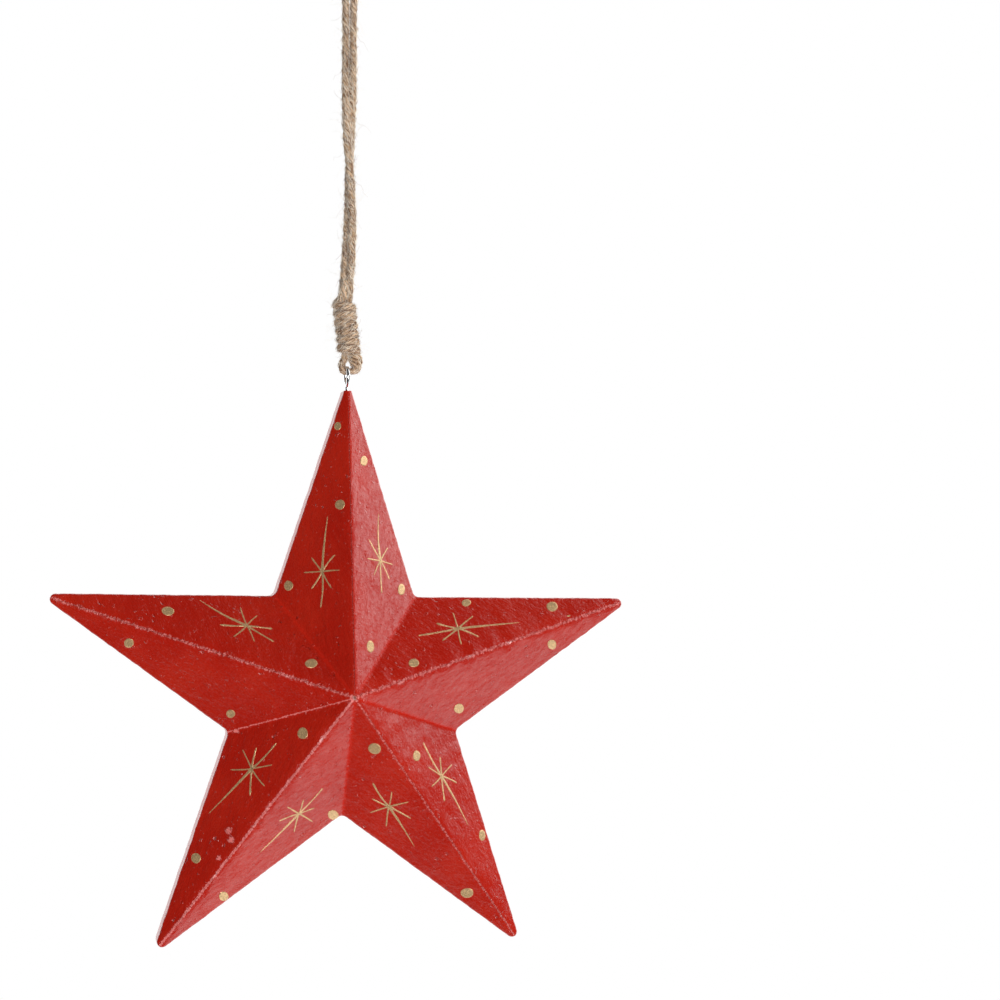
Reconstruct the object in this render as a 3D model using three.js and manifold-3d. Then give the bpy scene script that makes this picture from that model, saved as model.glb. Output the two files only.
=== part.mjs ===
// Star ornament: a faceted five-pointed star of painted wood that hangs from a twine loop.
//
// Five kite-shaped wooden arms are glued side to side. A screw eye stands in the sawn-off point of
// the top arm. A loop of jute twine passes through its ring, and a second twine, wound round the
// loop's two strands, binds them together just above the ring.
//
// Millimetres, +Z up, the star's front towards -Y. The origin is where a hook carries the loop,
// on the inside of its top.

import * as THREE from "three";
import { mergeVertices } from "three/addons/utils/BufferGeometryUtils.js";
import Module from "manifold-3d";

// Sizes of the wooden star
const armNames = ["right_arm", "top_arm", "left_arm", "lower_left_arm", "lower_right_arm"];
const firstArmAngle = THREE.MathUtils.degToRad(18); // the right arm points this far above level
const tipRadius = 108; // centre to the sharp corner in which an arm's two sides would meet
const notchRadius = 41; // centre to the sharp inner corner between two arms
const wallDepth = 8; // the square side wall, from its front edge to the flat back
const apexRise = 25; // the middle of the front above the wall's front edge
const tipRound = 1.9; // radius that rounds an arm's point
const sawnRound = 1.2; // the same on the top arm, whose point is sawn off
const notchRound = 2.5; // radius that fills the inner corners
const ridgeFlat = 0.9; // width of the worn flat along each arm's ridge
const glueGap = 0.3; // the glue line between two arms
const topCut = 4.1; // length sawn off the top arm's point

// Sizes of the screw eye
const eyeOuter = 7.5; // across the ring
const eyeWire = 1.2; // thickness of the wire
const eyeNeckAngle = THREE.MathUtils.degToRad(45); // each side of the ring runs down to the neck at this slant
const eyeNeck = 0.7; // the neck's foot above the wood
const eyeDepth = 3; // the shank's place behind the wall's front edge
const threadLength = 9; // threaded shank inside the wood, point included
const threadPoint = 1.6; // length of the shank's sharp point
const threadPitch = 0.8;
const threadRise = 0.16; // crest of the thread above its root
const boreClearance = 0.2; // between the thread's crest and the bore
const boreSpare = 1; // the bore runs on past the shank's point

// Sizes of the twine
const twine = 2.5; // thickness
const loopRise = 133; // hook to the top of the binding
const loopBend = 5.5; // radius of the bend that rests on the hook
const bindingWidth = 8.1; // across the wound turns
const bindingTurns = 5.5; // they go down to the right at the front
const turnGap = 0.45; // between neighbouring turns
const bindingLean = THREE.MathUtils.degToRad(-6.5); // the binding leans to the left at its top
const bindingShift = -0.25; // the binding's middle lies this far to the right of the hook
const squeeze = 0.6; // each strand inside the binding takes this share of the space there, so the two merge
const bightDrop = 6.4; // from the binding's lower end to the lowest point of the bend in the ring
const legGap = 1; // between the bend's two legs where they leave the binding
const bendGap = 0.6; // where the twine bends at a joint
const touchGap = 0.3; // between pieces that touch
const swingLimit = THREE.MathUtils.degToRad(75); // the star swings this far forward and back

// How finely the curves are made
const cornerSteps = 5;
const wireSides = 10;
const threadSides = 14;
const threadRings = 6; // rings to each turn of the thread
const turnSteps = 24; // steps to each turn of the binding
const turnSides = 6;
const twineSides = 8;
const loopSteps = 96;
const bendSides = 12;
const bendSteps = 22;
const wireSteps = 64;

const wasm = await Module();
wasm.setup();

const painted = new THREE.MeshStandardMaterial({ color: 0xb02018, roughness: 0.3, metalness: 0 });
const bright = new THREE.MeshStandardMaterial({ color: 0xd0d2d4, roughness: 0.15, metalness: 1 });
const jute = new THREE.MeshStandardMaterial({ color: 0xb99f80, roughness: 0.95, metalness: 0 });

// A closed geometry, moved by a matrix, as a solid that can be joined and cut.
function solidOf(geometry, matrix = new THREE.Matrix4()) {
  const bare = geometry.index ? geometry.toNonIndexed() : geometry.clone();
  bare.deleteAttribute("normal");
  bare.deleteAttribute("uv");
  const merged = mergeVertices(bare.applyMatrix4(matrix), 1e-4);
  return new wasm.Manifold(
    new wasm.Mesh({
      numProp: 3,
      vertProperties: merged.attributes.position.array,
      triVerts: new Uint32Array(merged.index.array),
    }),
  );
}

// A solid as a geometry again.
function geometryOf(solid) {
  const { vertProperties, triVerts } = solid.getMesh();
  const geometry = new THREE.BufferGeometry();
  geometry.setAttribute("position", new THREE.BufferAttribute(new Float32Array(vertProperties), 3));
  geometry.setIndex(new THREE.BufferAttribute(new Uint32Array(triVerts), 1));
  geometry.computeVertexNormals();
  return geometry;
}

function namedMesh(name, geometry, material) {
  const mesh = new THREE.Mesh(geometry, material);
  mesh.name = name;
  return mesh;
}

// A round section of so many sides.
function roundSection(diameter, sides) {
  const corners = [];
  for (let i = 0; i < sides; i++) {
    const angle = (2 * Math.PI * i) / sides;
    corners.push(new THREE.Vector2(Math.cos(angle), Math.sin(angle)).multiplyScalar(diameter / 2));
  }
  return new THREE.Shape(corners);
}

// A closed tube along a curve.
function tubeAlong(curve, diameter, sides, steps) {
  return new THREE.ExtrudeGeometry(roundSection(diameter, sides), { steps, extrudePath: curve });
}

// A block that fills the space beyond a plane: outward from the point, along the normal.
function blockBeyond(point, normal) {
  const side = 4 * tipRadius;
  const block = new THREE.BoxGeometry(side, side, side).translate(0, 0, side / 2);
  const turn = new THREE.Quaternion().setFromUnitVectors(new THREE.Vector3(0, 0, 1), normal.clone().normalize());
  return solidOf(block, new THREE.Matrix4().compose(point, turn, new THREE.Vector3(1, 1, 1)));
}

// Points of an arc, both ends included.
function arcPoints(centre, radius, from, to) {
  const points = [];
  for (let i = 0; i <= cornerSteps; i++) {
    const angle = from + ((to - from) * i) / cornerSteps;
    points.push(new THREE.Vector2(centre.x + radius * Math.cos(angle), centre.y + radius * Math.sin(angle)));
  }
  return points;
}

// The wooden arms
// An arm lies in its own frame: x from the star's centre to the point, y across, z to the front,
// with the wall's front edge at z = 0.

const halfArm = Math.PI / armNames.length; // from an arm's ridge to its glue line
const notchX = notchRadius * Math.cos(halfArm);
const notchY = notchRadius * Math.sin(halfArm);
const sideSlant = Math.atan2(notchY, tipRadius - notchX); // between an arm's ridge and its side

// The outline on the arm's upper half, from the glue line out to the ridge.
function halfOutline(pointRadius) {
  const filled = notchRound / Math.sin(halfArm + sideSlant);
  const hollow = new THREE.Vector2(Math.cos(halfArm), Math.sin(halfArm)).multiplyScalar(notchRadius + filled);
  const glueSide = halfArm + Math.PI / 2 + Math.acos(-glueGap / (2 * notchRound));
  const sideNormal = Math.PI / 2 - sideSlant;
  const round = new THREE.Vector2(tipRadius - pointRadius / Math.sin(sideSlant), 0);
  return [
    new THREE.Vector2(glueGap / 2 / Math.sin(halfArm), 0),
    ...arcPoints(hollow, notchRound, glueSide, sideNormal + Math.PI),
    ...arcPoints(round, pointRadius, sideNormal, 0),
  ];
}

function wholeOutline(pointRadius) {
  const upper = halfOutline(pointRadius);
  const lower = upper.slice(1, -1).map((p) => new THREE.Vector2(p.x, -p.y));
  return new THREE.Shape([...upper, ...lower.reverse()].reverse());
}

// The front slopes down from the ridge: z = apexRise - alongSlope * x - acrossSlope * |y|.
const alongSlope = apexRise / tipRadius;
const acrossSlope = (apexRise - alongSlope * notchX) / notchY;

function armSolid(pointRadius) {
  const deep = wallDepth + apexRise;
  const slab = new THREE.ExtrudeGeometry(wholeOutline(pointRadius), { depth: deep, bevelEnabled: false });
  let arm = solidOf(slab, new THREE.Matrix4().makeTranslation(0, 0, -wallDepth));
  const apex = new THREE.Vector3(0, 0, apexRise);
  for (const side of [1, -1])
    arm = arm.subtract(blockBeyond(apex, new THREE.Vector3(alongSlope, side * acrossSlope, 1)));
  const flatTop = new THREE.Vector3(0, 0, apexRise - (acrossSlope * ridgeFlat) / 2);
  return arm.subtract(blockBeyond(flatTop, new THREE.Vector3(alongSlope, 0, 1)));
}

const cutFace = tipRadius - topCut; // the sawn end of the top arm, from the star's centre
const threadCrest = eyeWire / 2 + threadRise / 2;

function topArmSolid() {
  const bore = threadCrest + boreClearance;
  const length = threadLength + boreSpare;
  const drill = new THREE.CylinderGeometry(bore, bore, 2 * length, 2 * threadSides).rotateZ(Math.PI / 2);
  return armSolid(sawnRound)
    .subtract(blockBeyond(new THREE.Vector3(cutFace, 0, 0), new THREE.Vector3(1, 0, 0)))
    .subtract(solidOf(drill, new THREE.Matrix4().makeTranslation(cutFace, 0, -eyeDepth)));
}

// The screw eye
// Its ring lies in the YZ plane with its centre at the origin, and the shank hangs below it.

const ringRadius = (eyeOuter - eyeWire) / 2; // to the middle of the wire
const neckDrop = ringRadius / Math.sin(eyeNeckAngle); // ring's centre to where its two sides meet
const woodDrop = neckDrop + eyeNeck; // ring's centre to the wood

class EyeWire extends THREE.Curve {
  constructor() {
    super();
    const inRing = (across, up) => new THREE.Vector3(0, across, up);
    const ring = [];
    const firstAngle = -eyeNeckAngle;
    const sweep = Math.PI + 2 * eyeNeckAngle;
    const ringSteps = 24;
    for (let i = 0; i <= ringSteps; i++) {
      const angle = firstAngle + (sweep * i) / ringSteps;
      ring.push(inRing(Math.cos(angle), Math.sin(angle)).multiplyScalar(ringRadius));
    }
    const endGap = eyeWire + touchGap; // the wire stops this far short of the neck
    const end = inRing(-endGap * Math.sin(eyeNeckAngle), endGap * Math.cos(eyeNeckAngle) - neckDrop);
    this.points = [inRing(0, -woodDrop - eyeWire), inRing(0, -neckDrop - eyeNeck / 2), ...ring, end];
    this.course = new THREE.CatmullRomCurve3(this.points, false, "centripetal");
  }
  getPoint(t, target = new THREE.Vector3()) {
    return this.course.getPoint(t, target);
  }
}

// The threaded shank: rings of points whose radius rises and falls along a helix, down to a point.
function threadGeometry() {
  const rings = Math.round((threadLength / threadPitch) * threadRings);
  const root = eyeWire / 2 - threadRise / 2;
  const positions = [0, 0, -threadLength];
  for (let j = 1; j <= rings; j++) {
    const up = (threadLength * j) / rings; // above the point
    const taper = Math.min(1, up / threadPoint);
    for (let i = 0; i < threadSides; i++) {
      const turn = i / threadSides;
      const phase = up / threadPitch - turn;
      const crest = 1 - 2 * Math.abs(phase - Math.floor(phase) - 0.5);
      const radius = taper * (root + threadRise * crest);
      const angle = 2 * Math.PI * turn;
      positions.push(radius * Math.cos(angle), radius * Math.sin(angle), up - threadLength);
    }
  }
  positions.push(0, 0, 0);
  const point = 0;
  const top = positions.length / 3 - 1;
  const at = (j, i) => 1 + (j - 1) * threadSides + (i % threadSides);
  const faces = [];
  for (let i = 0; i < threadSides; i++) {
    faces.push(point, at(1, i + 1), at(1, i), top, at(rings, i), at(rings, i + 1));
    for (let j = 1; j < rings; j++)
      faces.push(at(j, i), at(j, i + 1), at(j + 1, i + 1), at(j, i), at(j + 1, i + 1), at(j + 1, i));
  }
  const geometry = new THREE.BufferGeometry();
  geometry.setAttribute("position", new THREE.Float32BufferAttribute(positions, 3));
  geometry.setIndex(faces);
  return geometry;
}

function screwEyeSolid() {
  const wire = solidOf(tubeAlong(new EyeWire(), eyeWire, wireSides, wireSteps));
  return wire.add(solidOf(threadGeometry(), new THREE.Matrix4().makeTranslation(0, 0, -woodDrop)));
}

// The twine
// Heights are measured down from the hook.

const turnPitch = twine + turnGap;
const bindingLength = bindingTurns * turnPitch + twine;
const coilRadius = (bindingWidth - twine) / 2; // to the middle of the wound twine
const bindingEnd = loopRise + bindingLength;
const pivotDrop = bindingEnd + bightDrop; // the lowest point of the bend, where the ring hangs
const ringDrop = ringRadius - twine / 2 - touchGap - eyeWire / 2; // pivot to the ring's centre

// The binding: a helix about its own Z axis, centred on the origin, with straight ends.
class Winding extends THREE.Curve {
  constructor() {
    super();
    this.turnLength = Math.hypot(2 * Math.PI * coilRadius, turnPitch);
    this.coilLength = bindingTurns * this.turnLength;
    this.length = this.coilLength + 2 * twine;
  }
  onCoil(s) {
    const angle = (2 * Math.PI * s) / this.turnLength;
    const up = (turnPitch * s) / this.turnLength - (bindingTurns * turnPitch) / 2;
    return new THREE.Vector3(coilRadius * Math.cos(angle), -coilRadius * Math.sin(angle), up);
  }
  getPoint(t, target = new THREE.Vector3()) {
    const s = t * this.length - twine;
    const onto = THREE.MathUtils.clamp(s, 0, this.coilLength);
    const slight = this.turnLength / 1000;
    const ahead = this.onCoil(onto + slight).sub(this.onCoil(onto - slight)).normalize();
    return target.copy(this.onCoil(onto)).addScaledVector(ahead, s - onto);
  }
}

const winding = new Winding();
const windingSteps = Math.ceil((winding.length / winding.turnLength) * turnSteps);

// The least gap between the winding and itself, measured between points on its middle line.
function leastWindingGap() {
  const points = [];
  for (let i = 0; i <= windingSteps; i++) points.push(winding.getPoint(i / windingSteps));
  let least = Infinity;
  for (let i = 0; i < points.length; i++)
    for (let j = i + turnSteps / 2; j < points.length; j++)
      least = Math.min(least, points[i].distanceTo(points[j]) - twine);
  return least;
}

console.log("least gap of the binding to itself: " + leastWindingGap().toFixed(3) + " mm");

// The loop's two strands inside the binding, squeezed against each other.
function boundStrandsSolid() {
  const space = bindingWidth - 2 * twine - 2 * touchGap;
  const radius = (squeeze * space) / 2;
  const offset = space / 2 - radius;
  const strand = new THREE.CylinderGeometry(radius, radius, bindingLength, bendSides);
  strand.rotateX(Math.PI / 2);
  return solidOf(strand, new THREE.Matrix4().makeTranslation(-offset, 0, 0)).add(
    solidOf(strand, new THREE.Matrix4().makeTranslation(offset, 0, 0)),
  );
}

// The binding's lower end lies this far to the right of the hook.
const bindingFoot = bindingShift - (bindingLength / 2) * Math.sin(bindingLean);

// How far above the pivot the middle of the ring's wire passes when the ring has swung.
function wireAbovePivot(swing) {
  return Math.sqrt(ringRadius ** 2 - (ringDrop * Math.sin(swing)) ** 2) - ringDrop * Math.cos(swing);
}

// The bend of the loop through the ring, down one leg and up the other. The legs draw together only
// above the wire's highest place.
function bightCurve() {
  const bend = eyeWire / 2 + touchGap + twine / 2; // clears the ring's wire on both sides
  const top = -bindingEnd - bendGap;
  const low = -pivotDrop;
  const legOffset = (twine + legGap) / 2;
  const apart = low + wireAbovePivot(swingLimit) + eyeWire / 2;
  const points = [new THREE.Vector3(bindingFoot - legOffset, 0, top), new THREE.Vector3(-bend, 0, apart)];
  const bendPoints = 6;
  for (let i = 0; i <= bendPoints; i++) {
    const angle = Math.PI + (Math.PI * i) / bendPoints;
    points.push(new THREE.Vector3(bend * Math.cos(angle), 0, low + bend + bend * Math.sin(angle)));
  }
  points.push(new THREE.Vector3(bend, 0, apart), new THREE.Vector3(bindingFoot + legOffset, 0, top));
  return new THREE.CatmullRomCurve3(points, false, "centripetal");
}

// The free loop. One strand is given by stations from the binding up to the loop's bend, each with its
// height below the hook, half the distance between the strands, the way that the first strand lies
// from the loop's middle, in degrees, and the middle's shift to the right. The other strand mirrors it.
const strandStations = [
  [loopRise - bendGap, 1.42, 330, -0.9],
  [125, 1.42, 324, -0.7],
  [114, 1.42, 312, -0.4],
  [102, 1.42, 296, -0.2],
  [90, 1.42, 272, -0.1],
  [78, 1.42, 238, 0],
  [66, 1.45, 206, 0],
  [54, 1.5, 188, 0],
  [42, 1.5, 181, 0],
  [33, 1.5, 180, 0],
  [26, 1.65, 180, 0],
  [20.5, 2.3, 180, 0],
  [15, 3.45, 180, 0],
  [9.5, 4.85, 180, 0],
];

function loopCurve() {
  const strand = (side) => {
    const points = strandStations.map(([below, half, degrees, shift]) => {
      const way = THREE.MathUtils.degToRad(degrees);
      return new THREE.Vector3(shift + side * half * Math.cos(way), side * half * Math.sin(way), -below);
    });
    for (const degrees of [0, 30, 60]) {
      const angle = THREE.MathUtils.degToRad(degrees);
      const below = loopBend * (1 - Math.sin(angle)) - twine / 2; // the hook carries the inside of the loop
      points.push(new THREE.Vector3(-side * loopBend * Math.cos(angle), 0, -below));
    }
    return points;
  };
  const top = new THREE.Vector3(0, 0, twine / 2);
  return new THREE.CatmullRomCurve3([...strand(1), top, ...strand(-1).reverse()]);
}

// Everything in its place

const ornament = new THREE.Group();

ornament.add(namedMesh("hanging_loop", tubeAlong(loopCurve(), twine, twineSides, loopSteps), jute));

const bound = new THREE.Group();
bound.position.set(bindingShift, 0, -loopRise - bindingLength / 2);
bound.rotation.y = bindingLean;
bound.add(namedMesh("binding", tubeAlong(winding, twine, turnSides, windingSteps), jute));
bound.add(namedMesh("bound_strands", geometryOf(boundStrandsSolid()), jute));
ornament.add(bound);

ornament.add(namedMesh("eye_bight", tubeAlong(bightCurve(), twine, bendSides, bendSteps), jute));

// The star and its eye hang from the bend, tilted so that their weight lies straight below it.
const starDrop = ringDrop + woodDrop + cutFace; // pivot to the star's centre
const frontShare = apexRise / 3 / (apexRise / 3 + wallDepth); // of the wood's volume, in front of the wall
const weightForward = (frontShare * apexRise) / 4 - ((1 - frontShare) * wallDepth) / 2; // of the wall's front edge
const hangTilt = Math.atan((weightForward + eyeDepth) / starDrop);

const hanging = new THREE.Group();
hanging.position.set(0, 0, -pivotDrop);
hanging.rotation.x = hangTilt;
ornament.add(hanging);

const screwEye = namedMesh("screw_eye", geometryOf(screwEyeSolid()), bright);
screwEye.position.set(0, 0, -ringDrop);
hanging.add(screwEye);

const star = new THREE.Group();
star.position.set(0, -eyeDepth, -starDrop);
star.rotation.x = Math.PI / 2;
hanging.add(star);
armNames.forEach((name, i) => {
  const solid = name === "top_arm" ? topArmSolid() : armSolid(tipRound);
  const arm = namedMesh(name, geometryOf(solid), painted);
  arm.rotation.z = firstArmAngle + 2 * halfArm * i;
  star.add(arm);
});

export default ornament;
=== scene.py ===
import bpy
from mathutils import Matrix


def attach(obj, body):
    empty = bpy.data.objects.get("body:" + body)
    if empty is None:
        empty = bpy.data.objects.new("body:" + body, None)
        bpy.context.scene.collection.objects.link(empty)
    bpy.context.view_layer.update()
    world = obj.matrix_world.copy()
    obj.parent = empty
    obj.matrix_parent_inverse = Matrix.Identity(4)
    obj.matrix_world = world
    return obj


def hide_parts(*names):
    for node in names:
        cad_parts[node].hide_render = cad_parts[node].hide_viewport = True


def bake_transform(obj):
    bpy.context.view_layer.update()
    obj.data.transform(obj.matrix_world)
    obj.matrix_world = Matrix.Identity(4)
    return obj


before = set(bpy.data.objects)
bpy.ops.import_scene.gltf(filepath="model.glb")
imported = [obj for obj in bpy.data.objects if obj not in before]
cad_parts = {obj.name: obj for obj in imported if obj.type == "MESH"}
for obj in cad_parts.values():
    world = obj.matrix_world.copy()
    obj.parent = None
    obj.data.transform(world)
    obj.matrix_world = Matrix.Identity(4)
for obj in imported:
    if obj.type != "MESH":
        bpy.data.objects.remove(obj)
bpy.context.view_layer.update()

from functools import cache
from math import atan, atan2, cos, exp, pi, radians, sin, sqrt, tan

import bmesh
import bpy
import numpy as np
from bpy.props import FloatProperty, FloatVectorProperty, IntProperty, PointerProperty
from mathutils import Euler, Vector

bl_info = {
    "name": "Star ornament",
    "version": (1, 0, 0),
    "blender": (4, 5, 0),
    "location": "View3D > Sidebar > Ornament",
    "description": "Makes a painted wooden star that hangs from a loop of jute twine",
    "category": "Add Mesh",
}

MM = 0.001
ARM_NAMES = ("right_arm", "top_arm", "left_arm", "lower_left_arm", "lower_right_arm")
FIRST_ARM = radians(18)
HALF_ARM = pi / len(ARM_NAMES)
PHOTO_SIDE = 1000
SENSOR = 36.0


# Sizes and colours that a user would change


def mm(name, description, default, **limits):
    """A size in millimetres, in which Blender's camera unit counts."""
    return FloatProperty(name=name, description=description, default=default, unit="CAMERA", **limits)


def colour(name, description, default):
    return FloatVectorProperty(name=name, description=description, default=default, subtype="COLOR")


class StarSizes(bpy.types.PropertyGroup):
    """Sizes of the wooden star"""
    tip_radius: mm("Tip radius", "Centre to the corner in which an arm's sides would meet", 108.0, min=1.0)
    notch_radius: mm("Notch radius", "Centre to the inner corner between two arms", 41.0, min=1.0)
    wall_depth: mm("Wall depth", "Square side wall, front edge to flat back", 8.0)
    apex_rise: mm("Apex rise", "Middle of the front above the wall's front edge", 25.0)
    tip_round: mm("Tip rounding", "Radius that rounds an arm's point", 1.9)
    sawn_round: mm("Sawn tip rounding", "The same on the top arm, before it is sawn", 1.2)
    notch_round: mm("Notch rounding", "Radius that fills the inner corners", 2.5)
    edge_round: mm("Edge rounding", "Radius of the paint over the front edge", 0.45)
    valley_fill: mm("Valley fill", "Width over which paint fills a valley, each side", 1.1)
    top_cut: mm("Top cut", "Length sawn off the top arm's point", 4.1)
    unevenness: mm("Unevenness", "How far the sanded faces are from flat", 0.09)
    edge_drips: mm("Edge drips", "How far the paint stands out along the edges", 0.05)


class EyeSizes(bpy.types.PropertyGroup):
    """Sizes of the screw eye"""
    outer: mm("Across the ring", "Outside of the ring", 7.5)
    wire: mm("Wire", "Thickness of the wire", 1.2)
    neck: mm("Neck", "Foot of the neck above the wood", 0.7)
    depth: mm("Depth", "Shank behind the wall's front edge", 3.0)
    thread_length: mm("Thread length", "Threaded shank inside the wood", 9.0)
    thread_point: mm("Point", "Length of the shank's point", 1.6)
    thread_pitch: mm("Pitch", "From crest to crest", 0.8)
    thread_rise: mm("Thread height", "Crest above root", 0.16)


class TwineSizes(bpy.types.PropertyGroup):
    """Sizes of the twine"""
    thickness: mm("Thickness", "Thickness of the twine", 2.5)
    lay_length: mm("Lay length", "One full turn of the strands, negative where they turn to the right", -9.5)
    loop_rise: mm("Loop rise", "Hook to the top of the binding", 133.0)
    loop_bend: mm("Loop bend", "Radius of the bend that rests on the hook", 5.5)
    binding_width: mm("Binding width", "Across the wound turns", 8.1)
    binding_turns: FloatProperty(name="Binding turns", description="Turns that bind the strands",
                                 default=5.5)
    turn_gap: mm("Turn gap", "Between neighbouring turns in the solids", 0.45)
    bight_drop: mm("Bight drop", "Binding to the lowest point of the bend", 6.4)
    fibre_thickness: mm("Fibre thickness", "Thickness of a loose fibre", 0.19)
    fibres: IntProperty(name="Fibres", description="Loose fibres on each square centimetre",
                        default=235, min=0)


class Finishes(bpy.types.PropertyGroup):
    """Colours of the finishes"""
    red: colour("Red paint", "Colour of the painted wood", (0.47, 0.0125, 0.0034))
    gold: colour("Gold paint", "Colour of the dots and bursts", (0.86, 0.57, 0.285))
    jute_pale: colour("Pale jute", "Colour of the outer fibres", (0.76, 0.53, 0.34))
    # jute_dark is also the painted shade in the twine's creases and gaps
    jute_dark: colour("Dark jute", "Colour in the creases", (0.115, 0.05, 0.022))
    plating: colour("Plating", "Colour of the screw eye", (0.78, 0.79, 0.80))


class ViewPlace(bpy.types.PropertyGroup):
    """Where the camera stands and how it looks"""
    place: FloatVectorProperty(name="Place", description="Camera's place in millimetres", subtype="XYZ",
                               default=(-102.1, -677.4, -255.2))
    turn: FloatVectorProperty(name="Turn", description="Camera's turn about X, Y and Z", subtype="EULER",
                              default=(radians(94.47), radians(-0.095), radians(-13.016)))
    lens: mm("Lens", "Focal length on the sensor", 71.712)


GROUPS = {"star": StarSizes, "eye": EyeSizes, "twine": TwineSizes, "finish": Finishes, "view": ViewPlace}


class OrnamentSettings(bpy.types.PropertyGroup):
    """All settings of the star ornament"""
    __annotations__ = {name: PointerProperty(type=group, name=name.capitalize(), description=group.__doc__)
                       for name, group in GROUPS.items()}


def settings():
    return bpy.context.scene.star_ornament


# Shader and geometry nodes


def maths(operation, swapped=False):
    """A method that adds a Math node, with its inputs swapped for a reflected form."""
    def method(self, other):
        a, b = (other, self) if swapped else (self, other)
        return self.graph.math(operation, a, b)
    return method


class Value:
    """A socket in a node tree. Sums and products of values add Math nodes."""
    __add__ = __radd__ = maths("ADD")
    __mul__ = __rmul__ = maths("MULTIPLY")
    __sub__ = maths("SUBTRACT")
    __rsub__ = maths("SUBTRACT", swapped=True)
    __pow__ = maths("POWER")
    __rpow__ = maths("POWER", swapped=True)

    def __init__(self, graph, socket):
        self.graph, self.socket = graph, socket


class Graph:
    """Adds nodes to a node tree."""

    def __init__(self, tree):
        self.tree = tree

    def feed(self, node, **sockets):
        """Sets or links a node's sockets, by name or as i0, i1, ..."""
        for key, value in sockets.items():
            numbered = key[0] == "i" and key[1:].isdigit()
            socket = node.inputs[int(key[1:]) if numbered else key.replace("_", " ")]
            if isinstance(value, Value):
                self.tree.links.new(value.socket, socket)
            elif value is not None:
                socket.default_value = value
        return node

    def node(self, kind, options=None, **sockets):
        """A node of a type, with its options set first and then its sockets."""
        made = self.tree.nodes.new(kind)
        for option, value in (options or {}).items():
            setattr(made, option, value)
        return self.feed(made, **sockets)

    def value(self, kind, options=None, output=0, **sockets):
        return Value(self, self.node(kind, options, **sockets).outputs[output])

    def math(self, operation, a, b=None):
        return self.value("ShaderNodeMath", {"operation": operation}, i0=a, i1=b)

    def vector(self, operation, a, b=None, scale=None):
        return self.value("ShaderNodeVectorMath", {"operation": operation}, i0=a, i1=b, i3=scale)

    def mix(self, factor, a, b):
        """A mix of two colours."""
        return self.value("ShaderNodeMix", {"data_type": "RGBA"}, output=2, i0=factor, i6=a, i7=b)

    def step(self, value, low, high):
        """0 below low, 1 above high and smooth between them."""
        kind = {"interpolation_type": "SMOOTHSTEP"}
        return self.value("ShaderNodeMapRange", kind, Value=value, From_Min=low, From_Max=high)

    def noise(self, where, scale, detail=2.0, roughness=0.5, distortion=0.0):
        return self.value("ShaderNodeTexNoise", None, Vector=where, Scale=scale, Detail=detail,
                          Roughness=roughness, Distortion=distortion)

    def stretched(self, where, x, y=1.0):
        """Coordinates squeezed by these factors, which stretches a pattern."""
        return self.value("ShaderNodeMapping", None, Vector=where, Scale=(x, y, 1.0))

    def uv(self, name):
        return self.value("ShaderNodeUVMap", {"uv_map": name})

    def attribute(self, name):
        return self.value("ShaderNodeAttribute", {"attribute_name": name}, output=2)

    def place(self):
        """Object coordinates."""
        return self.value("ShaderNodeTexCoord", output=3)

    def bump(self, height, depth, strength=1.0):
        """A normal from a height, whose depth at a height of 1 is in metres."""
        return self.value("ShaderNodeBump", None, Strength=strength, Distance=depth, Height=height)


def rgba(shade, *scales):
    """A colour with its alpha, scaled as a whole or channel by channel."""
    return (*(min(1.0, c * k) for c, k in zip(shade, (scales or (1.0,)) * 3)), 1.0)


def new_material(name, **shader):
    """A material with one Principled shader, and its graph. Constants go on the shader's own sockets."""
    material = bpy.data.materials.new(name)
    material.use_nodes = True
    material.node_tree.nodes.clear()
    graph = Graph(material.node_tree)
    principled = graph.node("ShaderNodeBsdfPrincipled", None, **shader)
    graph.node("ShaderNodeOutputMaterial", None, Surface=Value(graph, principled.outputs[0]))
    return material, graph, principled


GLINT_PINK = (0.98, 0.26, 0.24)
DUSTY_RED = (0.72, 0.34, 0.30)
FILLER = (0.34, 0.22, 0.17)
BLEACHED_JUTE = (0.92, 0.76, 0.59)
BROWN_JUTE = (0.40, 0.25, 0.16)
FIBRE_TIP = (1.0, 0.93, 0.81)


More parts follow.
